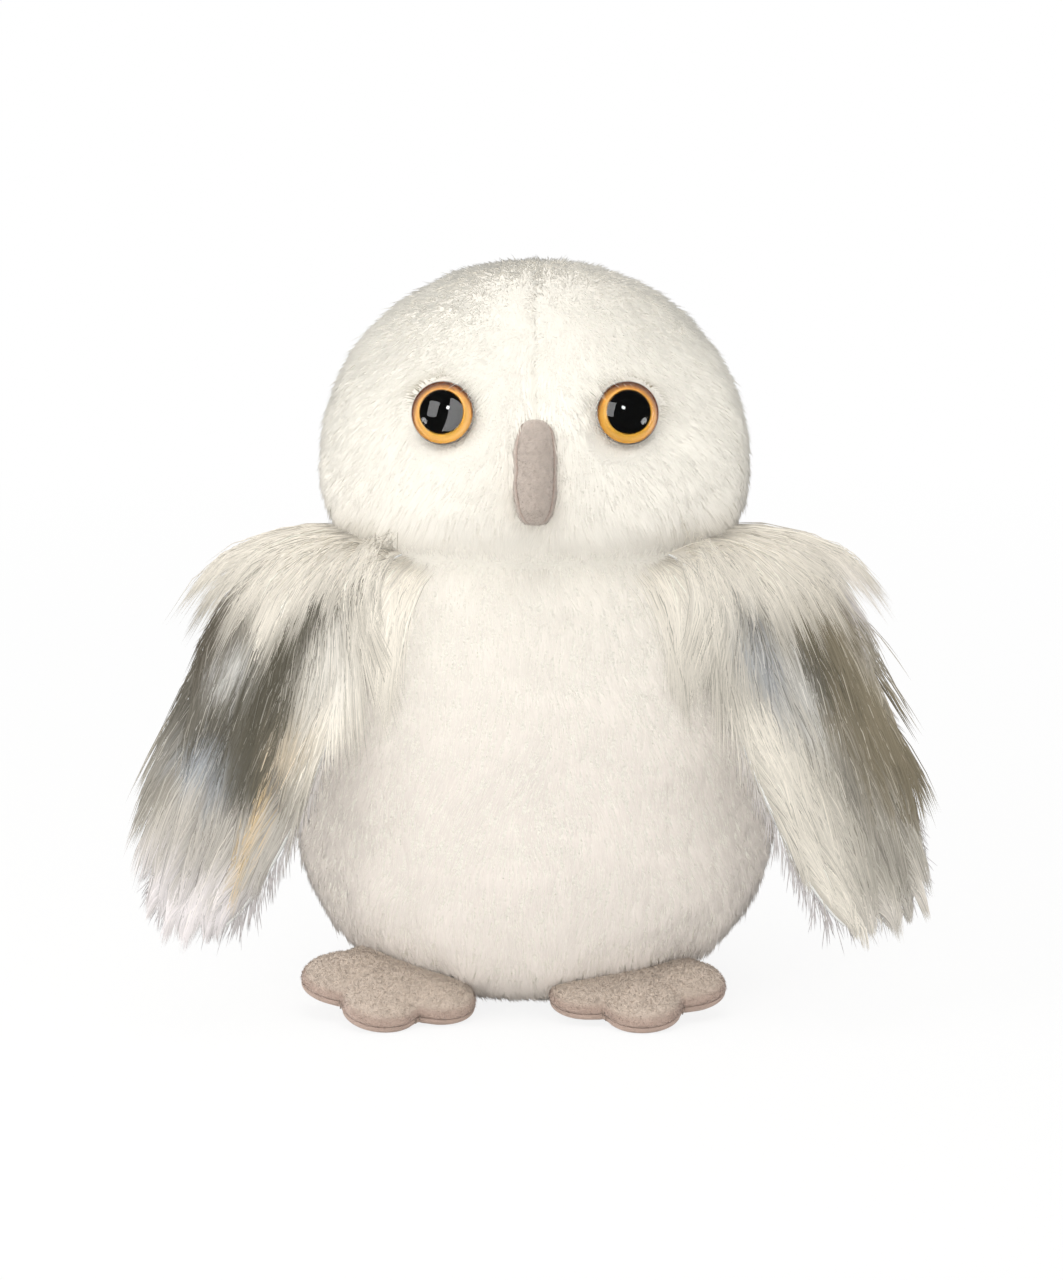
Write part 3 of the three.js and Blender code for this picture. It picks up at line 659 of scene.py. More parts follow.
class Finish:
    """A material: a Principled shader with its constants, and the nodes that vary it."""

    def __init__(self, name, **constants):
        self.material = bpy.data.materials.new(name)
        self.material.use_nodes = True
        self.tree = self.material.node_tree
        self.shader = next(n for n in self.tree.nodes if n.type == "BSDF_PRINCIPLED")
        self.output = next(n for n in self.tree.nodes if n.type == "OUTPUT_MATERIAL")
        for key, value in constants.items():
            self.put(self.shader.inputs[key.replace("_", " ")], value)

    def put(self, socket, value):
        if isinstance(value, Value):
            self.tree.links.new(value.socket, socket)
        elif isinstance(value, (tuple, list, np.ndarray)):
            value = [float(v) for v in value]
            size = len(socket.default_value)
            socket.default_value = (value + [1.0])[:size]
        else:
            socket.default_value = value

    def node(self, kind, settings=None, inputs=None, output=0):
        """Adds a node of a kind, sets its own settings, then the values or links of its
        sockets, and gives one of its outputs."""
        prefix = "ShaderNode" if kind in SHADER_NODES else "ShaderNodeTex"
        made = self.tree.nodes.new(prefix + kind)
        for key, value in (settings or {}).items():
            if key == "stops":
                ramp = made.color_ramp.elements
                while len(ramp) < len(value):
                    ramp.new(0.5)
                for element, (place, shade) in zip(ramp, value):
                    element.position = place
                    element.color = (*shade, 1.0)
            else:
                setattr(made, key, value)
        pairs = inputs.items() if isinstance(inputs, dict) else enumerate(inputs or ())
        for key, value in pairs:
            self.put(made.inputs[key], value)
        return Value(self, made.outputs[output])

    def place(self):
        """The point on the object, in metres."""
        return self.node("TexCoord", output="Object")

    def noise(self, size, detail=2.0):
        """Noise from 0 to 1, whose waves are a size in millimetres across."""
        sockets = {"Vector": self.place(), "Scale": 1 / (size * MM), "Detail": detail}
        return self.node("Noise", inputs=sockets, output="Fac")

    def attribute(self, name, output="Fac"):
        return self.node("Attribute", {"attribute_name": name}, output=output)

    def colours(self, first, second, part):
        return self.node(
            "Mix", {"data_type": "RGBA"}, {"Factor": part, 6: first, 7: second}, output=2
        )

    def bump(self, height, depth):
        """Tilts the shading by a height from 0 to 1, which stands for a depth in millimetres."""
        sockets = {"Strength": 1.0, "Distance": depth * MM, "Height": height}
        self.put(self.shader.inputs["Normal"], self.node("Bump", inputs=sockets))

    def behind(self, place, low, high):
        """0 on the camera's side of a place and 1 on the backdrop's."""
        return self.node("SeparateXYZ", inputs=[place], output="Y").clamped(low, high)

    def seen(self, behind):
        """Two shares: what shows as white, which is all that the camera sees itself and the
        backdrop's side in gloss and through clear plastic, and their dim side, the camera's."""
        straight, gloss, through = (
            self.node("LightPath", output=f"Is {kind} Ray")
            for kind in ("Camera", "Glossy", "Transmission")
        )
        other = gloss.most(through)
        return straight.most(other * behind), other * (1 - behind)

    def set(self, **links):
        for key, value in links.items():
            self.put(self.shader.inputs[key.replace("_", " ")], value)
        return self.material


# The kinds of node that aren't textures
SHADER_NODES = {
    "Math",
    "Mix",
    "MapRange",
    "ValToRGB",
    "TexCoord",
    "Attribute",
    "Bump",
    "LightPath",
    "MixShader",
    "BsdfTransparent",
    "Emission",
    "VectorMath",
    "SeparateXYZ",
}
GREYS = [(0.0, (0, 0, 0)), (1.0, (1, 1, 1))]


def plush_pile():
    """White fibres, each with its own shade. Painted shade makes them a little darker at the root,
    darker and pinker towards the floor, and grey-olive down in the hollows round the eyes, under
    the chin, round the neck and along the forehead seam."""
    made = Finish("Plush pile", Roughness=0.9, Specular_IOR_Level=0.2, Sheen_Weight=0.15)
    height = made.node("SeparateXYZ", inputs=[made.place()], output="Z")
    # Painted shade: the pile turns from the head's colour to the darker, pinker body colour
    # towards the floor
    low = 1 - height.clamped(0.07, 0.165)  # metres over the floor
    tip = made.colours(tone("owl_plush", "head"), tone("owl_plush", "body"), low)
    # Painted shade: each fibre is darker towards its root
    whole = made.colours(
        tone("owl_plush", "root_colour"), tip, made.attribute("along").clamped(0.0, 0.7)
    )
    shade = made.attribute("shade") * 0.1 + 0.9
    lit = made.node(
        "Mix",
        {"data_type": "RGBA", "blend_type": "MULTIPLY"},
        {"Factor": 1.0, 6: whole, 7: made.node("ValToRGB", {"stops": GREYS}, [shade])},
        output=2,
    )
    # Painted shade: deep mixes in the hollow colour
    return made.set(
        Base_Color=made.colours(lit, tone("owl_plush", "hollow"), made.attribute("deep") * 0.9)
    )


def plush_cloth():
    """The knitted backing under the pile, with its loops and a painted shadow of the fibres."""
    made = Finish("Plush backing", Roughness=0.95, Specular_IOR_Level=0.15)
    fine, broad = made.noise(0.7, 3.0), made.noise(9.0)
    made.bump(fine, 0.7)
    light = made.colours(tone("owl_plush", "root_colour"), tone("owl_plush", "head"), broad)
    dark = made.colours(light, (0.72, 0.67, 0.6), (fine - 0.5).clamped(0.0, 0.35) * 0.15)
    return made.set(Base_Color=dark)


def velour(name, base):
    """Short dense nap: mottled light and dark where it is stroked, with fine grain."""
    made = Finish(name, Roughness=0.88, Specular_IOR_Level=0.2, Sheen_Weight=0.25)
    fine, soft, broad = made.noise(0.55, 3.0), made.noise(1.9, 2.0), made.noise(11.0)
    base = np.array(base)
    stroked = made.colours(base * 0.88, np.minimum(base * 1.07, 1), soft.clamped(0.34, 0.66))
    whole = made.colours(stroked, base, broad.clamped(0.3, 0.7) * 0.6)
    seam = made.colours(whole, tone("owl_velour", "seam"), made.attribute("seam") * 0.75)
    made.bump(fine, 0.35)
    return made.set(
        Base_Color=made.colours(seam, base * 0.72, (fine - 0.5).clamped(0.0, 0.3) * 0.35)
    )


def long_pile():
    """Long fibres, coloured along their length by the colour kept on them."""
    made = Finish("Long pile", Roughness=0.7, Specular_IOR_Level=0.1, Sheen_Weight=0.1)
    return made.set(Base_Color=made.attribute("pile", "Color"))


def pouch_cloth():
    """Plain woven cotton: threads over and under one another, as two crossed waves."""
    made = Finish("Woven cotton", Roughness=0.9, Specular_IOR_Level=0.2)
    waves = [
        made.node(
            "Wave",
            {"wave_type": "BANDS", "bands_direction": way},
            {"Vector": made.place(), "Scale": 1 / (2.4 * MM * math.pi), "Distortion": 0.3},
            output="Fac",
        )
        for way in ("X", "Y")
    ]
    made.bump(waves[0] * waves[1], 0.15)
    light, dark = np.array(paint(226, 220, 206)), np.array(paint(196, 188, 172))
    return made.set(Base_Color=made.colours(dark, light, waves[0] * 0.5 + waves[1] * 0.5))


def simple_finish(name, base, size, depth, variation=0.08, **constants):
    """A base colour lightened and darkened by noise, with the same noise as its relief."""
    made = Finish(name, **constants)
    grain = made.noise(size, 3.0)
    base = np.array(base)
    made.bump(grain, depth)
    return made.set(
        Base_Color=made.colours(
            base * (1 - variation), np.minimum(base * (1 + variation), 1), grain
        )
    )


# Pile of the head and body


def eye_frame(side):
    """An eye's seat and its axis: the seat lies under the face by the sink, at the height and
    spacing of the eyes, and the axis is turned out and tilted up."""
    share = share_at(HEAD, EYE["height"])
    across = swell(HEAD["halves"][0], 0.0, share, HEAD["upper_power"])
    angle = side * math.degrees(math.asin(EYE["spacing"] / 2 / across))
    turn, tilt = math.radians(EYE["turn"]), math.radians(EYE["tilt"])
    level = side * math.sin(turn), -math.cos(turn)
    axis = np.array([*(part * math.cos(tilt) for part in level), math.sin(tilt)])
    return on_form(HEAD, share, angle) - axis * EYE["sink"], axis


def dimpled(points, under=0.0):
    """The head's points pressed in round the eyes: within the rim they lie behind the eye's
    seat, and from there they rise to the face in a curve."""
    gap, rim, slope, rise, reach = 0.15, 9.1, 5.0, 4.6, 16
    for side in (1, -1):
        middle, axis = eye_frame(side)
        high = (points - middle) @ axis
        away = np.linalg.norm(points - middle - high[..., None] * axis, axis=-1)
        limit = -gap - under + rise * np.maximum(0, (away - rim) / slope) ** 1.3
        near = (away < reach) & (high > -20)
        points = points + np.where(near, np.minimum(high, limit) - high, 0)[..., None] * axis
    return points


def nap(form, points, normal):
    """The way the pile lies: down the form, and away from the middle of the face. Just under
    the neck seam it lies up, so that it closes the seam."""
    flow = np.tile([0.0, 0.0, -1.0], (len(points), 1))
    if form is BODY:
        flow[:, 2] += 1.7 * ease(points[:, 2], 128.0, 137.0)
    if form is HEAD:
        flow[:, 0] = points[:, 0] / 62.0 * 0.7
        flow[:, 1] = mix(0.25, -0.6, ease(points[:, 2], 178.0, 204.0))
    swirl = clouds(points, 14.0, 21) - 0.5
    flow = unit(flow - (flow * normal).sum(1, keepdims=True) * normal)
    across = np.cross(normal, flow)
    return unit(flow + across * swirl[:, None] * 0.9)


def plush_fibres(form, share, angle, rng):
    """The spines of short fibres. Each starts under the form, stands up, leans over along the
    nap and drifts to the middle of its tuft. Near a seam it crosses to the other side, and near
    an eye it leans away and is shorter."""
    plush = bpy.context.scene.owl_plush
    at = on_form(form, share, angle)
    normal = normals_of(form, share, angle)
    if form is HEAD:
        at = dimpled(at)
    flow = nap(form, at, normal)
    centre, own = tufts(at, plush.tuft / MM, 5)
    waves = clouds(at * [1.0, 1.0, 1.8], 7.0, 9) - 0.5
    count = len(at)
    root, rise = plush.root / MM, plush.rise / MM
    rise = rise + (own - 0.5) * 0.6 + waves * 0.9 + rng.normal(0, 0.22, count)
    stray = rng.random(count) > 0.97
    rise = rise + stray * rng.random(count) * 1.1
    lean = plush.lean + (own - 0.5) * 0.3 + rng.normal(0, 0.12, count)
    drift = (centre - at) - ((centre - at) * normal).sum(1, keepdims=True) * normal
    tilted = unit(normal - drift * 0.05)
    drift = drift * 0.26 + rng.normal(0, 0.25, (count, 3))
    around = around_at(angle)
    for seam_at, _ in form["seams"]:
        past = np.radians((angle - seam_at + 180) % 360 - 180) * np.hypot(at[:, 0], at[:, 1])
        drift = drift - around * (past * 1.1 * np.exp(-((past / 2.0) ** 2)))[:, None]
    keep = np.ones(count, bool)
    # deep: how much painted shade a fibre takes, towards the hollow colour
    deep = np.zeros(count)
    if form is BODY:
        neck = ease(at[:, 2], *NECK_BELOW)
        rise = rise + neck * 1.2
    if form is HEAD:
        neck = 1 - ease(at[:, 2], *NECK_ABOVE)
        rise = rise + neck * 2.6 + 0.5 * np.exp(-((at[:, 0] / 3.2) ** 2)) * (at[:, 1] < 0)
        top = np.exp(-((at[:, 1] - 24.0) ** 2 + (at[:, 0] * 0.5) ** 2) / 14.0**2)
        lean = lean * (1 - 0.6 * top * ease(at[:, 2], 185.0, 195.0))
        # Painted shade down the middle of the forehead, along its seam
        line = ease(at[:, 2], 168.0, 178.0) * (1 - ease(at[:, 2], 186.0, 196.0))
        deep = 0.2 * np.exp(-((at[:, 0] / 1.3) ** 2)) * line * (at[:, 1] < 0)
        for side in (1, -1):
            middle, axis = eye_frame(side)
            away = (at - middle) - ((at - middle) @ axis)[:, None] * axis
            far = np.linalg.norm(away, axis=1)
            near = (1 - ease(far, *EYE_FUR["lean"])) * ((at @ axis) > 0)
            keep &= (far > EYE_FUR["bare"]) | ((at - middle) @ axis < -20)
            outward = unit(away - (away * normal).sum(1, keepdims=True) * normal)
            flow = unit(mix(flow, outward, near[:, None] * 0.9))
            rise = rise - near * 1.5
            drift = drift * (1 - near[:, None])
            # Painted shade in a ring round the eye, strongest above it
            above = ease(away[:, 2] / np.maximum(far, 1e-6), -0.5, 0.9)
            past = np.maximum(far - EYE_FUR["shade"], 0)
            ring = np.exp(-past / EYE_FUR["fade"]) * ((at @ axis) > 0)
            deep = np.maximum(deep, ring * (0.12 + 0.88 * above))
        middle, tilt = beak_frame()
        inside, wide, deepest, long = (at - middle) @ tilt, 4.6, 12, 13
        hidden = (np.abs(inside[:, 0]) < wide) & (np.abs(inside[:, 2]) < long)
        keep &= ~(hidden & (inside[:, 1] < deepest))
    # Painted shade round the neck seam, under the chin and on the body's top, more at the sides
    beside = ease(np.abs(at[:, 0]), 18.0, 44.0)
    deep = np.maximum(deep, neck**2 * (0.08 + 0.22 * beside))
    level = unit(at * [1, 1, 0])
    tilted = unit(mix(tilted, level, neck[:, None] * 0.8))
    height = root + rise
    reach = flow * (height * np.tan(np.clip(lean, 0.2, 1.16)))[:, None] + drift
    start = at - normal * root
    elbow = start + normal * (height * 0.6)[:, None] + reach * 0.38
    tip = start + normal * height[:, None] + reach
    spine = np.stack([start, elbow, tip], axis=1)[keep]
    spine[:, :, 2] = np.maximum(spine[:, :, 2], 0.25 if form is BODY else NO_FLOOR)
    shade = np.clip(0.5 + (own - 0.5) * 0.3 + waves * 1.0 + rng.normal(0, 0.16, count), 0, 1)
    width = setting("owl_plush", "fibre") * (1 - 0.35 * stray) * rng.uniform(0.85, 1.15, count)
    return spine, width[keep], tilted[keep], shade[keep], deep[keep]


MOST_TRIANGLES = 196000  # in one piece of pile


def pile_pieces(name, spine, width, normal, shade, deep, body, slot, material):
    """Fibres as closed meshes, shared out over as many pieces as their triangles need."""
    places = spine.shape[1]
    each = 6 * (places - 2)
    parts = math.ceil(len(spine) * each / MOST_TRIANGLES)
    order = np.argsort(spine[:, 0, 2], kind="stable")
    for number, chosen in enumerate(np.array_split(order, parts)):
        radius = np.repeat(width[chosen][:, None], places, axis=1)
        out = np.repeat(normal[chosen][:, None], places, axis=1)
        points, faces, soft, step = spikes(spine[chosen], radius, out)
        along = np.repeat(np.linspace(0, 1, places), [1] + [3] * (places - 2) + [1])
        values = {
            "along": np.tile(along, len(chosen)),
            "shade": np.repeat(shade[chosen], step),
            # The painted shade of each fibre
            "deep": np.repeat(deep[chosen], step),
        }
        title = f"{name}_{number + 1}" if parts > 1 else name
        let_light_past(new_piece(title, points, faces, body, slot, material, values, soft))


def backing(name, form, low, high, left, right, material, body):
    """A cloth panel under the pile: a grid over the form, drawn in a little more at its seams,
    with a second grid behind it for its thickness. Panels stand apart by twice a gap."""
    rows = max(8, int(abs(high - low) * 45))
    columns = max(8, int((right - left) / 2.5))
    share = outline(form, low, high, rows)[:, None]
    angle = np.linspace(left, right, columns)[None, :]
    gap, tuck_depth, tuck_reach = 0.05, 0.5, 1.6
    grids = []
    for depth in (CLOTH_FACE, CLOTH_BACK):
        is_face = depth == CLOTH_FACE
        surface = on_form(grown(form, -depth), share, angle)
        normal = normals_of(form, np.broadcast_to(share, (rows, columns)), angle + 0 * share)
        rim = np.minimum(angle - left, right - angle) * math.radians(1) * form["halves"][0]
        tuck = tuck_depth * np.exp(-((rim / tuck_reach) ** 2))
        bumps = (clouds(surface.reshape(-1, 3), 6.0, 31) - 0.5).reshape(rows, columns)
        moved = surface - normal * ((tuck - bumps * 0.8) * is_face)[..., None]
        if form is HEAD:
            moved = dimpled(moved, 0.0 if is_face else 2.0)
        toward = np.sign((left + right) / 2 - angle) * (rim < 1.0)
        moved = moved + around_at(angle) * toward[..., None] * gap
        grids.append(moved)
    points, faces = slab(*grids)
    points[:, 2] = np.maximum(points[:, 2], 0.15 if form is BODY else NO_FLOOR)
    return new_piece(name, points, faces, body, "plush", material)


def base_panel():
    """The points and faces of the underside: rings from its middle out to the seam, and back
    inside. Where it stands its pile is pressed flat, so it has a fine relief."""
    edge = share_at(BODY, BASE_SEAM - 0.3)
    rows, columns, face, relief = 30, 96, 0.4, 0.35
    share = outline(BODY, -0.9999, edge, rows)[:, None]
    angle = np.linspace(-180, 180, columns + 1)[:-1][None, :]
    rings = []
    for depth in (face, CLOTH_BACK):
        surface = on_form(grown(BODY, -depth), share, angle)
        if depth == face:
            rough = clouds(surface.reshape(-1, 3), 1.6, 44).reshape(share.shape[0], -1)
            up = ease(surface[..., 2], 0.5, 6.0)
            surface[..., 2] += 0.05 + rough * relief
            inward = unit(surface * [1, 1, 0])
            surface -= inward * (up * 2.4)[..., None]
        rings.append(surface)
    outer, inner = rings
    return closed_rings(np.concatenate([outer, inner[::-1]]))


def beak_frame():
    """The beak's middle and the turn from its own directions to the owl's."""
    height = BEAK_SEAT["height"]
    face = on_form(HEAD, share_at(HEAD, height), 0.0)
    middle = np.array([0.0, face[1] + BEAK_SEAT["back"], height])
    return middle, turn_about(0, BEAK_SEAT["tilt"])


def axis_frame(axis):
    """Two directions across an axis."""
    first = unit(np.cross(axis, UP))
    return first, np.cross(first, axis)


def turned(profile, middle, axis, count=72):
    """The points and triangles of a profile of radii and heights, turned about an axis. Its
    first and last points lie on the axis."""
    first, second = axis_frame(axis)
    angle = np.linspace(0, 2 * math.pi, count + 1)[:-1]
    around = np.cos(angle)[:, None] * first + np.sin(angle)[:, None] * second
    profile = np.asarray(profile, float)
    rings = middle + profile[:, 1, None, None] * axis + profile[:, 0, None, None] * around
    points, faces = rings.reshape(-1, 3), grid_faces(len(profile), count, closed=True)
    merged = triangles_of(faces)
    for ring in (0, len(profile) - 1):
        low, high = ring * count, (ring + 1) * count
        inside = (merged >= low) & (merged < high)
        if profile[ring, 0] == 0:
            merged = np.where(inside, low, merged)
        elif ring and (profile[0] == profile[-1]).all():
            merged = np.where(inside, merged - low, merged)
    used, merged = np.unique(merged[whole_ones(merged)], return_inverse=True)
    return outward(points[used], merged.reshape(-1, 3))


def rounded(form, depth, rows, columns, reshape):
    """A closed form of rings from pole to pole, under a form by a depth. reshape moves its
    points."""
    lower = grown(form, -depth)
    share = outline(lower, -1 + 1e-6, 1 - 1e-6, rows)[:, None]
    angle = np.linspace(-180, 180, columns + 1)[:-1][None, :]
    rings = list(on_form(lower, share, angle))
    inner_rings = (0.02, 0.35, 0.7)  # shares of an open end's ring
    low, high = rings[0], rings[-1]
    if form["bottom_halves"][0] > 0:
        rings = [mix(low.mean(0), low, part) for part in inner_rings] + rings
    if form["top_halves"][0] > 0:
        rings += [mix(high.mean(0), high, part) for part in reversed(inner_rings)]
    rings = np.array(rings)
    points = reshape(rings.reshape(-1, 3))
    return outward(*closed_rings(points.reshape(rings.shape)))


def eye_pieces(side, finishes):
    """An eye's dome, iris and pupil, turned about its axis, in more detail than the model's: the
    dome is an ellipse over a pocket, the iris a dished ring, and the pupil a low dome. The
    pocket's face over the pupil has its own finish, which doesn't reflect."""
    name = "left" if side > 0 else "right"
    middle, axis = eye_frame(side)
    rim = setting("owl_eyes", "diameter") / 2
    rise = setting("owl_eyes", "rise")
    pupil = setting("owl_eyes", "pupil") / 2
    arc = np.radians(np.linspace(0, 90, 30))
    lip, wall = 0.25, 0.35
    pocket, ledge = 3.62, 2.62  # heights of the pocket over the pupil and over the iris
    edge = [(rim - lip + lip * math.sin(t), lip - lip * math.cos(t)) for t in arc[::6]]
    dome = [(0.0, pocket), (pupil + 0.2, 3.45), (pupil + 0.3, ledge), (rim - wall, ledge)]
    dome += [(rim - wall, 0.0), *edge]
    dome += [(rim * math.cos(t), lip + (rise - lip) * math.sin(t)) for t in arc[1:-1]]
    dome += [(0.0, rise)]
    outer = rim - 0.4
    ring = [(pupil + 0.05, 1.5), (rim - 0.8, 1.5), (rim - 0.8, 0.12), (outer, 0.12)]
    ring += [
        (mix(outer, pupil + 0.05, t), 2.3 - 0.3 * math.sin(math.pi * t))
        for t in np.linspace(0, 1, 9)
    ]
    ring += [ring[0]]
    disc = [(0.0, 1.5), (pupil, 1.5), (pupil, 2.3)]
    disc += [(pupil * math.cos(t), 2.4 + 0.9 * math.sin(t)) for t in arc[1:-1:3]] + [(0.0, 3.3)]
    for part, profile, slot in (
        ("dome", dome, "clear_plastic"),
        ("iris", ring, "amber_plastic"),
        ("pupil", disc, "black_plastic"),
    ):
        points, faces = turned(profile, middle, axis)
        values = None
        if part == "iris":
            away = points - middle
            away = away - (away @ axis)[:, None] * axis
            far = (np.linalg.norm(away, axis=1) - pupil) / (outer - pupil)
            across = away[:, 0] * side
            # far runs from the pupil to the real rust rim; high grows towards the top and the
            # outer side, for the iris's painted shade
            values = {"far": far, "high": (away[:, 2] + across * 0.3) / outer}
        title = f"{name}_eye_{part}"
        piece = new_piece(title + "_detail", points, faces, "head", slot, finishes[part], values)
        if part == "dome":
            piece.data.materials.append(finishes["pocket"])
            places = (points - middle)[faces].mean(axis=1)
            high = places @ axis
            wide = np.linalg.norm(places - high[:, None] * axis, axis=1)
            inside = (high > 3.3) & (high < 3.7) & (wide < pupil + 0.25)
            piece.data.polygons.foreach_set("material_index", inside.astype(np.int32))
        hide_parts(title)
        piece.data.set_sharp_from_angle(angle=math.radians(35))


def clear_plastic(name="Clear plastic", **constants):
    """Clear moulding: glass that lets the lamps' light through to the iris."""
    made = Finish(
        name,
        **{"Base_Color": (1, 1, 1), "Roughness": 0.02, "Transmission_Weight": 1.0, **constants},
        IOR=1.45,
    )
    shadow = made.node("LightPath", output="Is Shadow Ray")
    open_air = made.node("BsdfTransparent")
    mixed = made.node("MixShader", inputs=[shadow])
    made.tree.links.new(made.shader.outputs[0], mixed.socket.node.inputs[1])
    made.tree.links.new(open_air.socket, mixed.socket.node.inputs[2])
    made.tree.links.new(mixed.socket, made.output.inputs["Surface"])
    return made.material


def iris_finish():
    """Amber paint behind the clear plastic: bright round the pupil and rust brown at the rim, with
    a faint grain; brighter below and darker above and to the outer side, as painted light and
    shade."""
    made = Finish("Amber iris", Roughness=0.35, Specular_IOR_Level=0.4)
    far, high = made.attribute("far"), made.attribute("high")
    grain = made.noise(0.7, 3.0)
    # Painted light and shade: high makes the iris darker towards its top and outer side and
    # brighter below
    edge = (far + high * 0.5 + (grain - 0.5) * 0.3).clamped(0.05, 1.15)
    bright = made.colours(tone("owl_eyes", "gold"), tone("owl_eyes", "amber"), edge * 1.2)
    return made.set(
        Base_Color=made.colours(bright, tone("owl_eyes", "rust"), edge.clamped(0.38, 0.85))
    )


def face_at(points):
    """How far forward the head's cloth stands at each point's place across and height: the
    form's ellipse at that height."""
    over = points[..., 2] - HEAD["middle"]
    upper, lower = HEAD["top"] - HEAD["middle"], HEAD["middle"] - HEAD["bottom"]
    share = np.clip(np.where(over > 0, over / upper, over / lower), -1, 1)
    wide = on_form({**HEAD, "seams": ()}, share, 90.0)[..., 0]
    deep = -on_form({**HEAD, "seams": ()}, share, 0.0)[..., 1]
    return -deep * np.sqrt(np.maximum(0, 1 - (points[..., 0] / wide) ** 2))


def beak_surface(share, angle, depth):
    """A place on the beak, under its form by a depth, in the owl's own directions. Its two
    seams draw it in, and its back lies on the face."""
    middle, turn = beak_frame()
    form = grown(BEAK, -depth)
    points = on_form(form, share, angle)
    is_face = depth == 0
    seam = np.exp(-(((np.abs(angle) - BEAK_SEAT["seam"]) / 5.0) ** 2)) * is_face
    inward = unit(points * [1, 1, 0.3])
    rough = (clouds(points, 2.2, 61) - 0.5) * 0.25 + (clouds(points, 5.0, 62) - 0.5) * 0.5
    points = points - inward * (seam * 0.5 - rough * is_face)[..., None]
    points = middle + points @ turn.T
    points[..., 1] = np.minimum(points[..., 1], face_at(points) + 1.5 - depth * 0.4)
    return points, seam


def beak_panel(name, left, right, material):
    """One cloth panel of the beak: a grid from its top to its tip between two seams."""
    share = outline(BEAK, -1 + 1e-4, 1 - 1e-4, 60)[:, None]
    angle = np.linspace(left, right, 34)[None, :]
    share, angle = np.broadcast_arrays(share, angle)
    shape = share.shape
    flat = (share.ravel(), angle.ravel())
    outer, seam = beak_surface(*flat, 0.0)
    inner, _ = beak_surface(*flat, VELOUR)
    points, faces = slab(outer.reshape(*shape, 3), inner.reshape(*shape, 3))
    points, faces = outward(points, faces)
    values = {"seam": np.concatenate([seam, seam])}
    piece = new_piece(name + "_velour", points, faces, "head", "velour", material, values)
    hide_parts(name + "_panel")


def fuzz(name, at, normal, seam, length, width, body, material, rng):
    """Short nap: a fibre at each place, which leans at random and down, as closed spikes."""
    count, lean = len(at), 0.9
    reach = rng.normal(0, 1, (count, 3)) + np.array([0, 0, -0.8])
    reach = reach - (reach * normal).sum(1, keepdims=True) * normal
    size = length * rng.uniform(0.6, 1.3, count)[:, None]
    start = at - normal * 0.25
    elbow = start + normal * size * 0.45 + reach * size * 0.2 * lean
    tip = start + normal * size * 0.8 + reach * size * 0.55 * lean
    spine = np.stack([start, elbow, tip], axis=1)
    radius = np.full((count, 3), width)
    out = np.repeat(normal[:, None], 3, axis=1)
    points, faces, soft, step = spikes(spine, radius, out)
    values = {"seam": np.repeat(seam, step)}
    piece = new_piece(name, points, faces, body, "velour", material, values, soft)
    piece.visible_shadow = False


def stitches(name, at, direction, out, length, width, body, material):
    """Short threads, each a spindle of four places bowed out of the cloth."""
    t = np.array([-0.5, -0.28, 0.28, 0.5])
    bow = np.array([-0.25, 0.12, 0.12, -0.25])
    spine = at[:, None] + direction[:, None] * (t * length)[:, None]
    spine = spine + out[:, None] * (bow * width * 2)[:, None]
    radius = np.full((len(at), 4), width)
    points, faces, soft, _ = spikes(spine, radius, np.repeat(out[:, None], 4, axis=1))
    new_piece(name, points, faces, body, None, material, None, soft)


# Feet


def foot_radius(angle):
    """The outline of a foot as a distance from its middle: a high norm of the distances to the
    rims of three toes and of a round heel."""
    far = np.radians(angle)
    toe, web, size = FOOT["toe"], FOOT["web"], FOOT["toes"][0][1]
    rims = []
    for at, reach in FOOT["toes"]:
        off = far - math.radians(at)
        away = np.abs(np.arctan2(np.sin(off), np.cos(off)))
        side = reach * np.sin(away)
        round_end = reach * np.cos(away) + np.sqrt(np.maximum(0, toe**2 - side**2))
        beside = np.where(away < math.pi / 2, toe / np.maximum(np.sin(away), 0.05), toe)
        rims.append(np.where((away < math.pi / 2) & (side < toe), round_end, beside))
    rims.append(np.full_like(far, FOOT["heel"]))
    return size * sum((radius / size) ** web for radius in rims) ** (1 / web)


def foot_place(side, across, out, roll):
    """The turn, the place and the name of a foot: rolled, pitched under the belly and turned
    out, then lowered until its lowest point is on the floor."""
    turn = turn_about(2, side * out) @ turn_about(0, FOOT["pitch"]) @ turn_about(1, -side * roll)
    angle = np.linspace(-180, 180, 181)
    rims = [
        foot_point(share, angle, -FOOT["sole"] * superellipse(share, FOOT["sole_power"]))
        for share in (1.0, 0.94, 0.8)
    ]
    low = min((points @ turn.T)[:, 2].min() for points in rims)
    place = np.array([side * across, -FOOT["forward"], -low])
    return turn, place, ("left" if side > 0 else "right") + "_foot"


def superellipse(share, power):
    """1 at share 0 and 0 at share 1: the root of 1 less a power of the share."""
    return np.maximum(0, 1 - share**power) ** (1 / power)


def foot_point(share, angle, height):
    """A point of a foot at a share of its outline and a height, in its own directions."""
    radius = foot_radius(angle) * share
    return outwards_at(angle) * radius[..., None] + np.asarray(height)[..., None] * UP


def under_belly(points):
    """The points held under the belly, whose lower half is the body's superellipse."""
    wide, deep = BODY["halves"]
    power, middle = BODY["lower_power"], BODY["middle"]
    far = np.hypot(points[..., 0] / wide, points[..., 1] / deep)
    lower = middle - (middle - BODY["bottom"]) * superellipse(np.minimum(far, 1), power)
    held = np.where(far < 1, np.minimum(points[..., 2], lower - 0.35), points[..., 2])
    return np.concatenate([points[..., :2], np.maximum(held, 0.06)[..., None]], axis=-1)


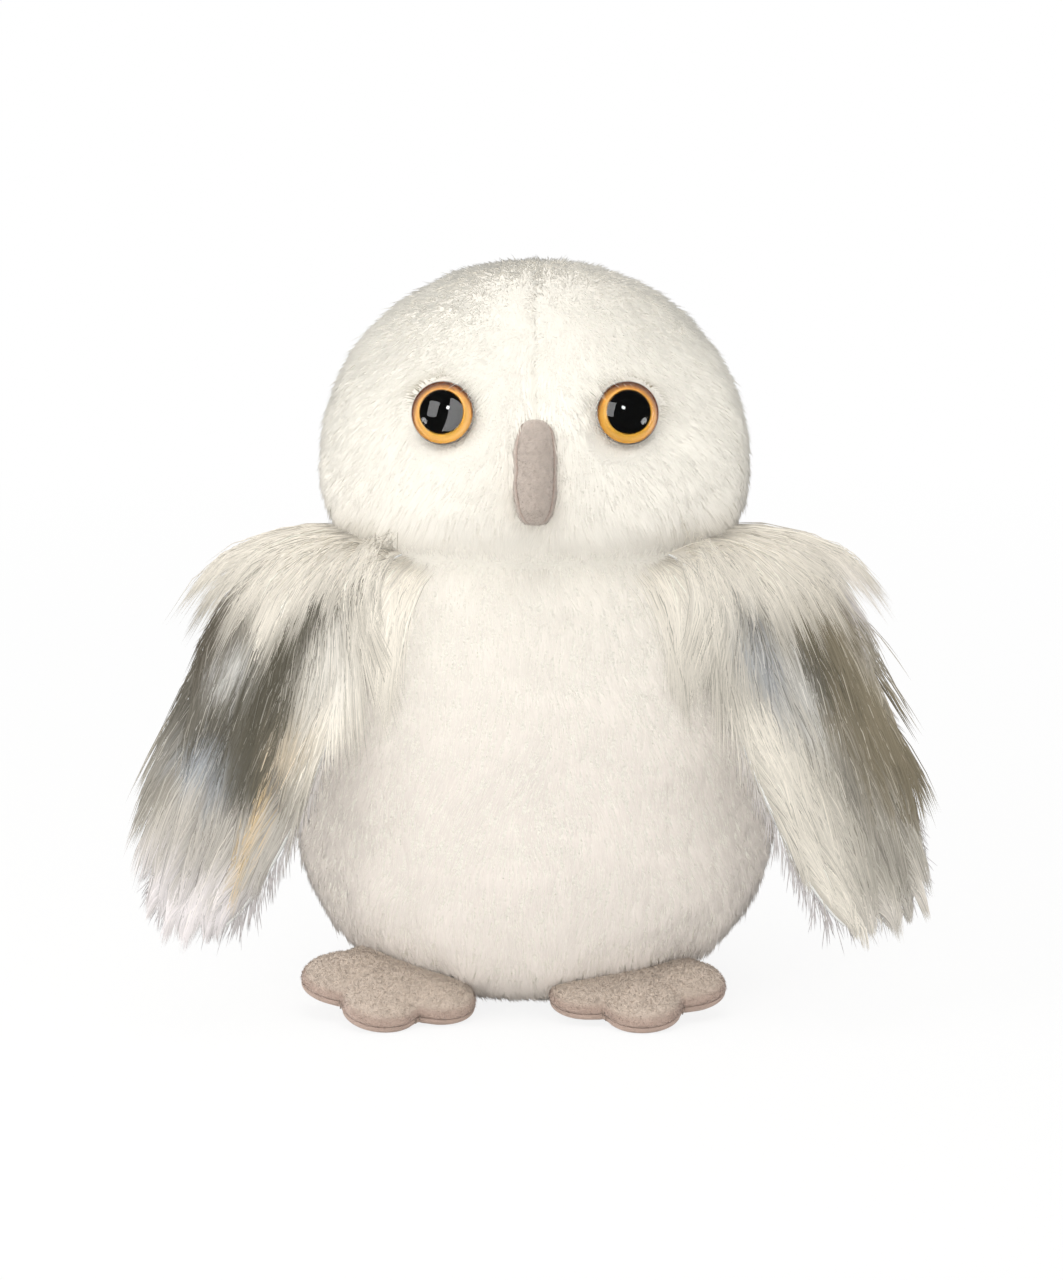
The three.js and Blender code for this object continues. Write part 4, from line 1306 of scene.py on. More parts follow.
def foot_layer(place, upper, wall, rows=26, columns=200):
    """Points of the upper or the sole of a foot, in by a wall: rings from its middle to its
    outline, whose height falls by a superellipse, with the seam's groove and soft dents."""
    turn, move, _ = place
    share = np.sin(np.linspace(0.02, 1, rows) * math.pi / 2)[:, None]
    angle = np.linspace(-180, 180, columns + 1)[:-1][None, :]
    share, angle = (part.ravel() for part in np.broadcast_arrays(share, angle))
    part, sign = ("crown", 1) if upper else ("sole", -1)
    rise = (FOOT[part] - FOOT["seam"] - wall) * superellipse(share, FOOT[part + "_power"])
    height = sign * (FOOT["seam"] + rise)
    scale = 1 - wall / 20
    points = foot_point(share * scale, angle, height)
    seam = np.exp(-(((1 - share) / 0.05) ** 2))
    if wall == 0:
        rough = (clouds(points, 2.4, 71) - 0.5) * 0.3 + (clouds(points, 9.0, 72) - 0.5) * 0.9
        points[:, 2] += rough * (1 - seam) * (1 if upper else -0.4)
        points[:, :2] *= (1 - 0.022 * seam)[:, None]
    return under_belly(points @ turn.T + move), seam, (rows, columns)


def foot_panel(place, upper, material):
    """A closed cloth panel of a foot: an outer layer and an inner one joined round the seam and
    at the middle."""
    outer, seam, (rows, columns) = foot_layer(place, upper, 0.0)
    inner, _, _ = foot_layer(place, upper, VELOUR)
    points, faces = there_and_back(outer, inner, rows, columns)
    both = np.concatenate([seam, seam.reshape(rows, columns)[::-1].ravel(), [0, 0]])
    name = f"{place[2]}_{'upper' if upper else 'sole'}"
    values = {"seam": both}
    piece = new_piece(name + "_velour", points, faces, place[2], "velour", material, values)
    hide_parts(name + "_panel")


def there_and_back(first, second, rows, columns):
    """A closed shape of the rings of one layer and then those of another, backwards."""
    first, second = (layer.reshape(rows, columns, 3) for layer in (first, second))
    return outward(*closed_rings(np.concatenate([first, second[::-1]])))


def foot_normals(points, shape):
    """Outward directions of a closed ring grid, by steps round it and along it."""
    grid = points.reshape(*shape, 3)
    around = np.roll(grid, -1, axis=1) - np.roll(grid, 1, axis=1)
    along = np.gradient(grid, axis=0)
    return unit(np.cross(along, around)).reshape(-1, 3)


# Wings and tail

PLACES = np.array([0.0, 0.22, 0.48, 0.75, 1.0])  # along a long fibre
TAPER = np.array([0.6, 0.9, 1.0, 0.75, 0.2])
FLAP_POWER = 2.4  # how squarely a flap swells in to its tip
FAN = 34  # locks over a shoulder


def flank(mirrored):
    """What a point or a direction is multiplied by to lie on a flap's own side."""
    return np.array([-1, 1, 1] if mirrored else [1, 1, 1])


def flap_frame(flap, run):
    """The place and directions of a flap at a run along it, in millimetres: it droops at an
    even rate over its bend and hangs straight after, and turns its outer face to the front."""
    out = outwards_at(flap["heading"])
    across = np.cross(UP, out)
    start, end = math.radians(flap["start"]), math.radians(flap["end"])
    root = on_form(BODY, share_at(BODY, flap["root_height"]), flap["heading"])
    gap, half_root = 0.3, 1.5
    root = root + out * (gap + half_root * math.sin(start))
    bend = flap["length"] * flap["bend"]
    rate = (end - start) / bend
    droop = start + rate * np.minimum(run, bend)
    straight = np.maximum(run - bend, 0)
    forth = (np.sin(droop) - math.sin(start)) / rate + straight * np.cos(droop)
    down = (math.cos(start) - np.cos(droop)) / rate + straight * np.sin(droop)
    place = root + forth[..., None] * out - down[..., None] * UP
    face = np.sin(droop)[..., None] * out + np.cos(droop)[..., None] * UP
    share = run / flap["length"]
    twist = math.radians(flap["twist"]) * ease(share, 0, flap["wide"])[..., None]
    return (
        place,
        across * np.cos(twist) + face * np.sin(twist),
        face * np.cos(twist) - across * np.sin(twist),
    )


def flap_half(flap, share):
    """A flap's half-width: eased out to its full width, then swelling in to its tip."""
    wide = mix(flap["root_width"], flap["width"], ease(share, 0, flap["wide"])) / 2
    past = np.clip((share - flap["wide"]) / (1 - flap["wide"]), 0, 1)
    return swell(wide, flap["tip_width"] / 2, past, FLAP_POWER)


def flap_thick(share, side):
    """How much of its full height a layer has: less at the root and at the side edges."""
    root, full = 3, 11.5
    return (1 - 0.55 * side**2) * mix(root / full, 1, ease(share, 0, 0.3))


def flap_point(flap, run, off, height, mirrored):
    """A place of a flap, at a run along it, off its middle line and at a height over it."""
    place, across, face = flap_frame(flap, run)
    return (place + off[..., None] * across + height[..., None] * face) * flank(mirrored)


def flap_cloth(flap, low, high, mirrored, rows, columns, rough, colours):
    """A layer of a flap as a sheet with a thickness, whose height follows the flap's, and the
    colour of its pile at each point."""
    share = np.linspace(0, 1, rows)[:, None]
    side = np.linspace(-1, 1, columns)[None, :]
    share, side = np.broadcast_arrays(share, side)
    grids = []
    for height in (high, low):
        off = side * flap_half(flap, share) * 0.97
        lift = height * flap_thick(share, side)
        points = flap_point(flap, share * flap["length"], off, lift, mirrored)
        if height == high:
            lumps = clouds(points.reshape(-1, 3), 3.0, 81).reshape(rows, columns) - 0.5
            points = flap_point(
                flap, share * flap["length"], off, lift + lumps * rough, mirrored
            )
        grids.append(points)
    shade = colours(share, side).reshape(-1, 3) * 0.72
    return (*outward(*slab(*grids)), np.concatenate([shade, shade]))


def flap_strands(flap, count, rng, mirrored, length, colours):
    """Long fibres of a flap. A fibre starts on the cloth, rises and lies down along the flap,
    hangs to the front at the front edge, and closes on the middle of its lock, so that locks
    end in points."""
    share, side = rng.uniform(0.0, 0.985, count), rng.uniform(-1, 1, count)
    level = rng.random(count)
    half = flap_half(flap, share)
    run, off = share * flap["length"], side * half
    lock = setting("owl_long_pile", "lock")
    cell = np.stack([off / lock, run / (lock * 3.2), 0 * run], -1)
    centre, own = tufts(cell, 1.0, 90 + mirrored)
    to_off = centre[:, 0] * lock - off
    to_run = centre[:, 1] * lock * 3.2 - run
    twist = np.modf(own * 97.3)[0]
    size = length * rng.uniform(0.75, 1.1, count) * (0.82 + 0.4 * twist)
    point = 1.0 - 0.09 * np.abs(side - 0.1) ** 1.5
    rest = (point + 0.1 * twist - share) * flap["length"] * rng.uniform(0.75, 1, count)
    size = np.clip(rest, 6.5 + 3.0 * twist, size)
    t = PLACES[None, :]
    front = ease(-side, 0.0, 1.0) * mix(0.55, -0.12, ease(share, 0.1, 0.5))
    stick = (own > 0.55) * ease(side, 0.5, 1.0) * 0.22 * (1 - ease(share, 0.75, 0.95))
    slant = stick - front + (own - 0.5) * 0.16 + rng.normal(0, 0.03, count)
    edge = np.maximum(ease(share, 0.5, 0.9), ease(np.abs(side), 0.6, 1.0))
    along = run[:, None] + t * size[:, None] + (t**2) * to_run[:, None] * 0.3
    close = mix(0.5, 0.92, edge)[:, None]
    beside = off[:, None] + t * (slant * size)[:, None] + (t**1.5) * to_off[:, None] * close
    beside = beside * (1 - 0.18 * ease(along / flap["length"], 0.7, 1.1))
    beside = beside + np.sin(t * 3.0 + own[:, None] * 6) * t * 0.5
    thick = flap_thick(share, side)
    top = (mix(2.3, 7.4, level) + 1.4 * (twist - 0.5)) * mix(thick, 1, 0.35)
    base = (1.9 * thick)[:, None]
    height = base + (top[:, None] - base) * ease(t, 0, 0.45) - (t**3) * 1.8
    spine = flap_point(flap, along, beside, height, mirrored)
    spine[..., 2] -= (t**2) * (size * 0.05)[:, None]
    _, _, face = flap_frame(flap, along)
    out = face * flank(mirrored)
    where = along / flap["length"] + ((own - 0.5) * 0.07 + rng.normal(0, 0.02, count))[:, None]
    across = beside / half[:, None] + ((twist - 0.5) * 0.2 + rng.normal(0, 0.05, count))[:, None]
    shade = streaked(colours(where, across), own, rng)
    # Painted shade: fibres lower in the pile are darker, and each darkens towards its root; the
    # lock's and the fibre's own tones vary this at random
    light = (0.7 + 0.34 * level) * (1 + (twist - 0.5) * 0.26 + rng.normal(0, 0.08, count))
    shade = shade * (light[:, None] * mix(0.74, 1.0, ease(t, 0.0, 0.4)))[..., None]
    return strand_mesh(spine, out, shade, rng)


def streaked(shade, own, rng):
    """Colours with a few light and dark fibres among them, more in some locks."""
    cream, taupe = long_tones()[:2]
    picked, often = rng.random(len(shade)), 0.06 + 0.14 * (own > 0.7)
    light = (picked < often) * rng.uniform(0.08, 0.3, len(shade))
    dark = (picked > 0.88) * rng.uniform(0.15, 0.5, len(shade))
    shade = mix(shade, cream * 1.05, light[:, None, None])
    return mix(shade, taupe, dark[:, None, None])


def strand_mesh(spine, out, shade, rng):
    """Long fibres as closed spikes that taper to a fine end, with a colour at each point."""
    width = setting("owl_long_pile", "fibre") * rng.uniform(0.75, 1.2, len(spine))
    points, faces, soft, _ = spikes(spine, width[:, None] * TAPER, out)
    picks = np.array([0] + [k for k in range(1, 4) for _ in range(3)] + [4])
    shade = np.clip(shade, 0.01, 0.94)[:, picks].reshape(-1, 3)
    return points, faces, soft, shade


def lining_strands(flap, count, rng, mirrored, length, colours):
    """Short soft pile on the side towards the body."""
    share = rng.uniform(0.02, 0.96, count)
    side = np.clip(rng.uniform(-1.2, 1.2, count), -0.99, 0.99)
    rim = ease(np.abs(side), 0.8, 0.99)
    size = length * rng.uniform(0.7, 1.2, count) * (1 - 0.3 * rim)
    t = PLACES[None, :]
    along = share[:, None] * flap["length"] + t * size[:, None]
    half = flap_half(flap, share)
    slant = rng.normal(0, 0.16, count) + np.sign(side) * rim * 0.3
    beside = (side * half)[:, None] + t * (slant * size)[:, None]
    thick = flap_thick(share, side)
    top = -(2.6 + 1.6 * rng.random(count)) * mix(thick, 1, 0.4) * (1 - 0.7 * rim)
    base = (-2.2 * thick)[:, None]
    height = base + (top[:, None] - base) * ease(t, 0, 0.45)
    spine = flap_point(flap, along, beside, height, mirrored)
    _, _, face = flap_frame(flap, along)
    out = -face * flank(mirrored)
    shade = colours(along / flap["length"], beside / half[:, None])
    shade = shade * (0.97 + rng.normal(0, 0.07, count))[:, None, None]
    return strand_mesh(spine, out, shade, rng)


def shoulder_strands(flap, count, rng, mirrored, colours):
    """Long fibres that start at the neck in front of a wing's root and sweep out over the wing
    in a fan, from those that hang down in front to those along its top. Each is a cubic curve
    of four points: on the body's cloth, lifted off it, behind its end and its end."""
    fan = rng.random(count)
    pick = np.floor(fan * FAN + rng.normal(0, 0.2, count)).astype(np.int64)
    own = lattice(np.stack([pick, 0 * pick, 0 * pick], -1), 60 + mirrored)
    other = np.modf(own * 53.7)[0]
    tip = mix(fan, (pick + 0.5) / FAN, 0.7) + rng.normal(0, 0.008, count)
    angle = mix(33.0, 76.0, fan) + rng.normal(0, 3.0, count)
    height = mix(131.0, 137.8, fan**0.6) - np.abs(rng.normal(0, 2.0, count))
    share = (height - BODY["middle"]) / (BODY["top"] - BODY["middle"])
    start = on_form(BODY, share, angle)
    normal = normals_of(BODY, share, angle)
    side = mix(-1.75, 1.0, tip) + 0.42 * ease(tip, 0.72, 1.0)
    reaches = [0.36, 0.3, 0.16, 0.2, 0.3, *((0.34, 0.33) if mirrored else (0.36, 0.24))]
    reach = np.interp(fan, [0, 0.15, 0.3, 0.45, 0.6, 0.8, 1], reaches)
    reach = reach + (other - 0.5) * 0.2 + rng.normal(0, 0.03, count)
    run, off = reach * flap["length"], side * flap_half(flap, reach)
    level = rng.random(count)
    lift = mix(0.5, 5.6, ease(side, -1.6, -0.6)) + 2.6 * level
    end = flap_point(flap, run, off, lift, False)
    along = unit(end - flap_point(flap, run - 6.0, off, lift, False))
    along = unit(mix(along, -UP, ease(-side, 0.3, 1.4)[:, None] * 0.8))
    far = np.linalg.norm(end - start, axis=1, keepdims=True)
    first = start + unit(normal + 0.7 * (end - start) / far) * far * 0.3
    second = end - along * far * 0.36
    start = start - normal
    t = PLACES[None, :, None]
    spine = (
        start[:, None] * (1 - t) ** 3
        + 3 * first[:, None] * t * (1 - t) ** 2
        + 3 * second[:, None] * t**2 * (1 - t)
        + end[:, None] * t**3
    )
    _, _, face = flap_frame(flap, run)
    out = unit(mix(normal[:, None], face[:, None], t))
    where = mix(-0.1, reach[:, None], PLACES) + ((own - 0.5) * 0.06)[:, None]
    shade = colours(where, np.repeat(side[:, None], 5, axis=1))
    cream = tone("owl_long_pile", "cream")
    part = ease(PLACES, 0.4, 1.0) * (0.2 + 0.75 * other)[:, None]
    # Painted shade: fibres lying lower over the cloth are darker; the lock's and the fibre's own
    # tones vary this at random
    light = (0.82 + 0.2 * level) * (1 + (own - 0.5) * 0.16 + rng.normal(0, 0.06, count))
    shade = streaked(mix(cream, shade, part[..., None]), own, rng) * light[:, None, None]
    return strand_mesh(spine * flank(mirrored), out * flank(mirrored), shade, rng)


def spot(share, side, at_share, at_side, long, wide, lean=0.0):
    """A soft patch of a wing's colour: a bell curve of the distance along it and across it,
    slanted by a lean."""
    along = (share - at_share) / long
    across = (side - at_side - lean * (share - at_share)) / wide
    return np.exp(-(along**2 + across**2))


def band(share, side, shares, sides, wide):
    """A soft stripe of a wing's colour: a bell curve of the distance from a line, given by its
    sides at some shares, that fades in and out at the line's ends."""
    across = (side - np.interp(share, shares, sides)) / wide
    ends = ease(share, shares[0] - 0.04, shares[0] + 0.04)
    ends = ends * (1 - ease(share, shares[-1] - 0.05, shares[-1] + 0.04))
    return np.exp(-(across**2)) * ends


def long_tones():
    """The tones of the long pile, from light to dark and on to the tips."""
    return [tone("owl_long_pile", name) for name in ("cream", "taupe", "slate", "tan", "lilac")]


def patched(shade, patches):
    """A colour with patches laid over it in order."""
    for part, own in patches:
        shade = mix(shade, own, np.clip(part * 1.15, 0, 1)[..., None])
    return shade


def right_wing_colours(share, side):
    """The owl's right wing: cream shoulder with a white streak, a dark band that widens down
    its middle, dark outer tips, slate below them and pale lilac ends, with tan at the front
    edge."""
    cream, taupe, slate, tan, lilac = long_tones()
    here = functools.partial(spot, share, side)
    shade = mix(cream, mix(taupe, cream, 0.66), ease(share, 0.06, 0.26)[..., None])
    middle = ease(share, 0.26, 0.34) * ease(side, -0.6, -0.2)
    shade = mix(shade, mix(taupe, cream, 0.14) * [1.02, 1.0, 0.96], middle[..., None])
    shade = mix(shade, mix(taupe, cream, 0.2), ease(share, 0.48, 0.56)[..., None] * 0.75)
    lower = mix(mix(taupe, cream, 0.42), lilac, 0.15)
    shade = mix(shade, lower, ease(share, 0.66, 0.74)[..., None])
    shade = mix(shade, lilac, ease(share, 0.84, 1.02)[..., None])
    shares = (0.16, 0.22, 0.31, 0.42, 0.5, 0.6, 0.72)
    sides = (-0.9, -0.5, -0.15, 0.05, 0, -0.12, -0.1)
    wide = np.interp(share, (0.15, 0.3, 0.45, 0.7), (0.26, 0.4, 0.5, 0.6))
    dark = band(share, side, shares, sides, wide)
    return patched(
        shade,
        (
            (here(0.08, 1.0, 0.14, 0.35), mix(taupe, cream, 0.5)),
            (dark * 1.15, taupe * [0.95, 0.94, 0.88]),
            (band(share, side, (0.08, 0.2, 0.38), (-0.2, 0.02, 0.3), 0.1), cream * 1.06),
            (here(0.44, 0.52, 0.06, 0.24), mix(slate, cream, 0.4)),
            (here(0.37, 1.05, 0.12, 0.4), taupe * [0.95, 0.9, 0.88]),
            (here(0.56, 0.75, 0.07, 0.4), mix(taupe, cream, 0.06)),
            (here(0.6, 0.3, 0.06, 0.35), taupe),
            (here(0.69, 0.5, 0.05, 0.4), slate),
            (here(0.77, 1.0, 0.07, 0.25), mix(taupe, cream, 0.26)),
            (here(0.36, -0.8, 0.1, 0.3), mix(cream, slate, 0.3)),
            (here(0.5, -1.0, 0.12, 0.25), cream * 0.96),
            (here(0.57, -0.6, 0.05, 0.2), mix(mix(taupe, cream, 0.6), tan, 0.4)),
            (band(share, side, (0.62, 0.75, 0.92), (-0.45, -0.52, -0.55), 0.07), tan),
        ),
    )


def left_wing_colours(share, side):
    """The owl's left wing: cream over the shoulder and front edge, slate near the front, an
    olive band behind it, and cream-grey ends."""
    cream, taupe, slate, tan, lilac = long_tones()
    here = functools.partial(spot, share, side)
    olive = mix(mix(taupe, cream, 0.1), tan, 0.08) * [1.0, 0.97, 0.86]
    shade = mix(cream, mix(taupe, cream, 0.7), ease(share, 0.1, 0.32)[..., None])
    shade = mix(shade, mix(taupe, cream, 0.5), ease(share, 0.66, 0.78)[..., None])
    shade = mix(shade, mix(cream, lilac, 0.5), ease(share, 0.9, 1.05)[..., None] * 0.5)
    shares, sides = (0.2, 0.3, 0.41, 0.5, 0.64, 0.8), (0.8, 0.5, 0.35, 0.5, 0.75, 0.95)
    behind = band(share, side, shares, sides, 0.62)
    return patched(
        shade,
        (
            (ease(-side, 0.2, 0.7) * ease(share, 0.42, 0.52) * 0.8, cream),
            (behind * 1.3, olive),
            (here(0.41, 0.18, 0.1, 0.24, 0.8), taupe * [0.92, 0.9, 0.82]),
            (here(0.27, -0.5, 0.06, 0.14, 3.0), taupe),
            (here(0.32, 0.0, 0.06, 0.14, 1.6), taupe),
            (here(0.04, 0.9, 0.08, 0.3), mix(taupe, cream, 0.42)),
            (here(0.17, 1.0, 0.08, 0.22), mix(taupe, cream, 0.52)),
            (here(0.3, 1.15, 0.07, 0.2), lilac * 0.92),
            (here(0.37, -0.5, 0.1, 0.26, 1.0), slate * [1.1, 1.06, 1.02]),
            (here(0.47, -0.1, 0.09, 0.2), mix(cream, slate, 0.5)),
            (here(0.66, 0.1, 0.08, 0.24), mix(taupe, cream, 0.22)),
            (here(0.87, 0.45, 0.09, 0.3), mix(taupe, cream, 0.3)),
            (here(0.79, -0.5, 0.07, 0.3), mix(taupe, cream, 0.84)),
        ),
    )


def tail_colours(share, side):
    """Cream at the root, taupe across the middle and pale ends."""
    cream, taupe, _, _, lilac = long_tones()
    shade = mix(cream, mix(taupe, cream, 0.2), ease(share, 0.15, 0.45)[..., None] * 0.85)
    return mix(shade, lilac, ease(share, 0.7, 1.0)[..., None])


def lining_colours(share, side):
    """Pale grey-cream, a little darker towards the tip."""
    cream, _, _, _, lilac = long_tones()
    return mix(cream * 0.97, lilac * 0.92, ease(share, 0.2, 0.9)[..., None])


def flap_pieces(name, flap, mirrored, count, length, colours, seed, finishes):
    """A wing or the tail: outer cloth, wadding and lining, and the pile on both sides."""
    rng = np.random.default_rng(seed)
    rows, columns = (60, 26) if flap is WING else (24, 20)
    for part, low, high, node, slot, finish, rough, scheme in (
        ("cloth", 1.9, 3.4, "fur_panel", "long_pile", "pile", 0.5, colours),
        ("wadding_sheet", -1.2, 1.2, "wadding", "fibre", "fibre", 0.6, lining_colours),
        ("lining_cloth", -2.9, -1.95, "lining", "lining", "cloth", 0.0, lining_colours),
    ):
        points, faces, shade = flap_cloth(flap, low, high, mirrored, rows, columns, rough, scheme)
        values = {"pile": shade} if finish == "pile" else None
        piece = new_piece(f"{name}_{part}", points, faces, name, slot, finishes[finish], values)
        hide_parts(f"{name}_{node}")
        piece.visible_shadow = flap is not WING
    half = count // 2
    batches = [
        ("pile_1", flap_strands, half, length, colours, "long_pile"),
        ("pile_2", flap_strands, count - half, length, colours, "long_pile"),
        ("lining_pile", lining_strands, count // 5, length * 0.45, lining_colours, "lining"),
    ]
    for part, make, number, long, scheme, slot in batches:
        points, faces, soft, shade = make(flap, number, rng, mirrored, long, scheme)
        title, values = f"{name}_{part}", {"pile": shade}
        piece = new_piece(title, points, faces, name, slot, finishes["pile"], values, soft)
        let_light_past(piece)
    if flap is WING:
        number = bpy.context.scene.owl_long_pile.shoulder
        points, faces, soft, shade = shoulder_strands(flap, number, rng, mirrored, colours)
        title, slot, values = f"{name}_shoulder_pile", "long_pile", {"pile": shade}
        piece = new_piece(title, points, faces, None, slot, finishes["pile"], values, soft)
        let_light_past(piece)
        out = outwards_at(flap["heading"])
        root, _, _ = flap_frame(flap, np.array(0.0))
        ends = [(root + out * by) * flank(mirrored) * MM for by in (-6, 24)]
        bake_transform(piece)


class OWL_OT_body(bpy.types.Operator):
    """Sew the body: front, back and base panels and short pile"""

    bl_idname = "owl.body"
    bl_label = "Body"

    def execute(self, context):
        rng = np.random.default_rng(11)
        cloth, pile = plush_cloth(), plush_pile()
        low = share_at(BODY, BASE_SEAM)
        density = context.scene.owl_plush.density
        for name in ("body_front", "body_back_left", "body_back_right"):
            form, left, right = PANELS[name]
            piece = backing(name + "_cloth", form, low, 0.9999, left, right, cloth, "body")
            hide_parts(name + "_panel")
            share, angle = scatter(form, low, 0.995, left, right, density, rng)
            fibres = plush_fibres(form, share, angle, rng)
            pile_pieces(name + "_pile", *fibres, "body", "plush", pile)
        base = new_piece("body_base_cloth", *base_panel(), "body", "plush", cloth)
        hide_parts("body_base_panel")
        share, angle = scatter(BODY, share_at(BODY, 1.0), low, -180, 180, density, rng)
        fibres = plush_fibres(BODY, share, angle, rng)
        pile_pieces("body_base_pile", *fibres, "body", "plush", pile)
        return {"FINISHED"}


class OWL_OT_head(bpy.types.Operator):
    """Sew the head: two face panels, two back panels and short pile"""

    bl_idname = "owl.head"
    bl_label = "Head"

    def execute(self, context):
        rng = np.random.default_rng(12)
        cloth, pile = bpy.data.materials["Plush backing"], bpy.data.materials["Plush pile"]
        density = context.scene.owl_plush.density
        for name in ("head_face_left", "head_face_right", "head_back_left", "head_back_right"):
            form, left, right = PANELS[name]
            piece = backing(name + "_cloth", form, -0.9999, 0.9999, left, right, cloth, "head")
            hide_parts(name + "_panel")
            share, angle = scatter(form, -0.995, 0.9995, left, right, density, rng)
            fibres = plush_fibres(form, share, angle, rng)
            pile_pieces(name + "_pile", *fibres, "head", "plush", pile)
        return {"FINISHED"}


class OWL_OT_eyes(bpy.types.Operator):
    """Fit the safety eyes: dome, iris, pupil, shank and lock washer"""

    bl_idname = "owl.eyes"
    bl_label = "Eyes"

    def execute(self, context):
        finishes = {
            "dome": clear_plastic(),
            "pocket": clear_plastic("Clear pocket", Specular_IOR_Level=0.0),
            "iris": iris_finish(),
            "pupil": simple_finish(
                "Black pupil", (0.003,) * 3, 2.0, 0.01, Roughness=0.2, Specular_IOR_Level=0.0
            ),
        }
        shank = simple_finish(
            "Black moulding", (0.012, 0.011, 0.01), 0.8, 0.05, 0.3, Roughness=0.35
        )
        nylon = simple_finish("White nylon", paint(228, 228, 222), 0.9, 0.06, Roughness=0.5)
        for side, name in ((1, "left"), (-1, "right")):
            eye_pieces(side, finishes)
            for part, finish in (("shank", shank), ("washer", nylon)):
                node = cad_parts[f"{name}_eye_{part}"]
                node.data.materials.clear()
                node.data.materials.append(finish)
        return {"FINISHED"}


class OWL_OT_beak(bpy.types.Operator):
    """Sew the beak: a front strip between two side panels, with its seams, thread and nap"""

    bl_idname = "owl.beak"
    bl_label = "Beak"

    def execute(self, context):
        rng = np.random.default_rng(13)
        cloth = velour("Beak velour", tone("owl_velour", "beak"))
        seam, gap = BEAK_SEAT["seam"], 0.4
        for name, left, right in (
            ("beak_front", -seam, seam),
            ("beak_left", seam, 180.0),
            ("beak_right", -180.0, -seam),
        ):
            beak_panel(name, left + gap, right - gap, cloth)
        share, angle = scatter(BEAK, -0.999, 0.999, -120, 120, 5.0, rng)
        at, seam = beak_surface(share, angle, 0.0)
        beside, _ = beak_surface(share, angle + 0.5, 0.0)
        above, _ = beak_surface(np.clip(share + 0.004, -1, 1), angle, 0.0)
        normal = unit(np.cross(beside - at, above - at))
        clear = at[:, 1] < face_at(at) - 0.5
        at, normal, seam = at[clear], normal[clear], seam[clear]
        length = setting("owl_velour", "nap") * 0.8
        fuzz("beak_nap", at, normal, seam, length, 0.07, "head", cloth, rng)
        thread = simple_finish("Thread", tone("owl_velour", "thread"), 0.3, 0.05, Roughness=0.7)
        share = np.tile(np.linspace(-0.93, 0.93, 17), 2)
        angle = np.repeat([-BEAK_SEAT["seam"], BEAK_SEAT["seam"]], 17)
        at, _ = beak_surface(share, angle, 0.0)
        ahead, _ = beak_surface(share + 0.01, angle, 0.0)
        beside, _ = beak_surface(share, angle + 0.5, 0.0)
        out = unit(np.cross(beside - at, ahead - at))
        stitches("beak_thread", at, unit(ahead - at), out, 1.1, 0.12, "head", thread)
        return {"FINISHED"}


class OWL_OT_feet(bpy.types.Operator):
    """Sew the feet: upper and sole of each, with the seam, stitches at the toes and nap"""

    bl_idname = "owl.feet"
    bl_label = "Feet"

    def execute(self, context):
        rng = np.random.default_rng(14)
        cloth = velour("Foot velour", tone("owl_velour", "foot"))
        thread = bpy.data.materials["Thread"]
        for foot in FEET:
            place = foot_place(*foot)
            for upper in (True, False):
                foot_panel(place, upper, cloth)
            points, seam, shape = foot_layer(place, True, 0.0, 110, 420)
            normal = foot_normals(points, shape)
            normal = normal * np.where(normal[:, 2:] < 0, -1, 1)
            grid = points.reshape(*shape, 3)
            size = np.linalg.norm(np.gradient(grid, axis=0), axis=-1)
            size = (size * np.linalg.norm(np.roll(grid, 1, 1) - grid, axis=-1)).ravel()
            size[under_belly(points + UP)[:, 2] < points[:, 2] + 0.9] = 0
            count = 7000
            picked = rng.choice(len(points), count, p=size / size.sum())
            jitter, normal = rng.normal(0, 0.12, (count, 3)), normal[picked]
            at = points[picked] + jitter - normal * (jitter * normal).sum(1)[:, None]
            turn, move, name = place
            length = setting("owl_velour", "nap")
            fuzz(name + "_nap", at, normal, seam[picked], length, 0.09, name, cloth, rng)
            # Between the toes, two stitches on the upper and two on the sole
            angle = np.array([-31.0, 31.0, -28.0, 28.0])
            at = foot_point(np.full(4, 0.985), angle, np.array([0.2, 0.2, -0.5, -0.5]))
            out = outwards_at(angle) @ turn.T
            at = under_belly(at @ turn.T + move) + out * 0.25
            up = np.tile(turn[:, 2], (4, 1))
            stitches(name + "_thread", at, up, unit(out), 2.0, 0.22, name, thread)
        return {"FINISHED"}


class OWL_OT_wings(bpy.types.Operator):
    """Sew the wings and the tail: cloth, wadding, lining and long pile in locks"""

    bl_idname = "owl.wings"
    bl_label = "Wings and tail"

    def execute(self, context):
        pile = context.scene.owl_long_pile
        finishes = {
            "pile": long_pile(),
            "cloth": simple_finish(
                "Pile backing", mix(pile.cream[0], 0.3, 0.4) * np.ones(3), 0.8, 0.3, Roughness=0.95
            ),
            "fibre": simple_finish(
                "Polyester fibre", paint(248, 248, 245), 1.5, 0.6, Roughness=0.9
            ),
        }
        length = setting("owl_long_pile", "length")
        for name, mirrored, scheme, seed in (
            ("left_wing", False, left_wing_colours, 21),
            ("right_wing", True, right_wing_colours, 22),
        ):
            flap_pieces(name, WING, mirrored, pile.count, length, scheme, seed, finishes)
        flap_pieces("tail", TAIL, False, 2600, length * 0.62, tail_colours, 23, finishes)
        return {"FINISHED"}


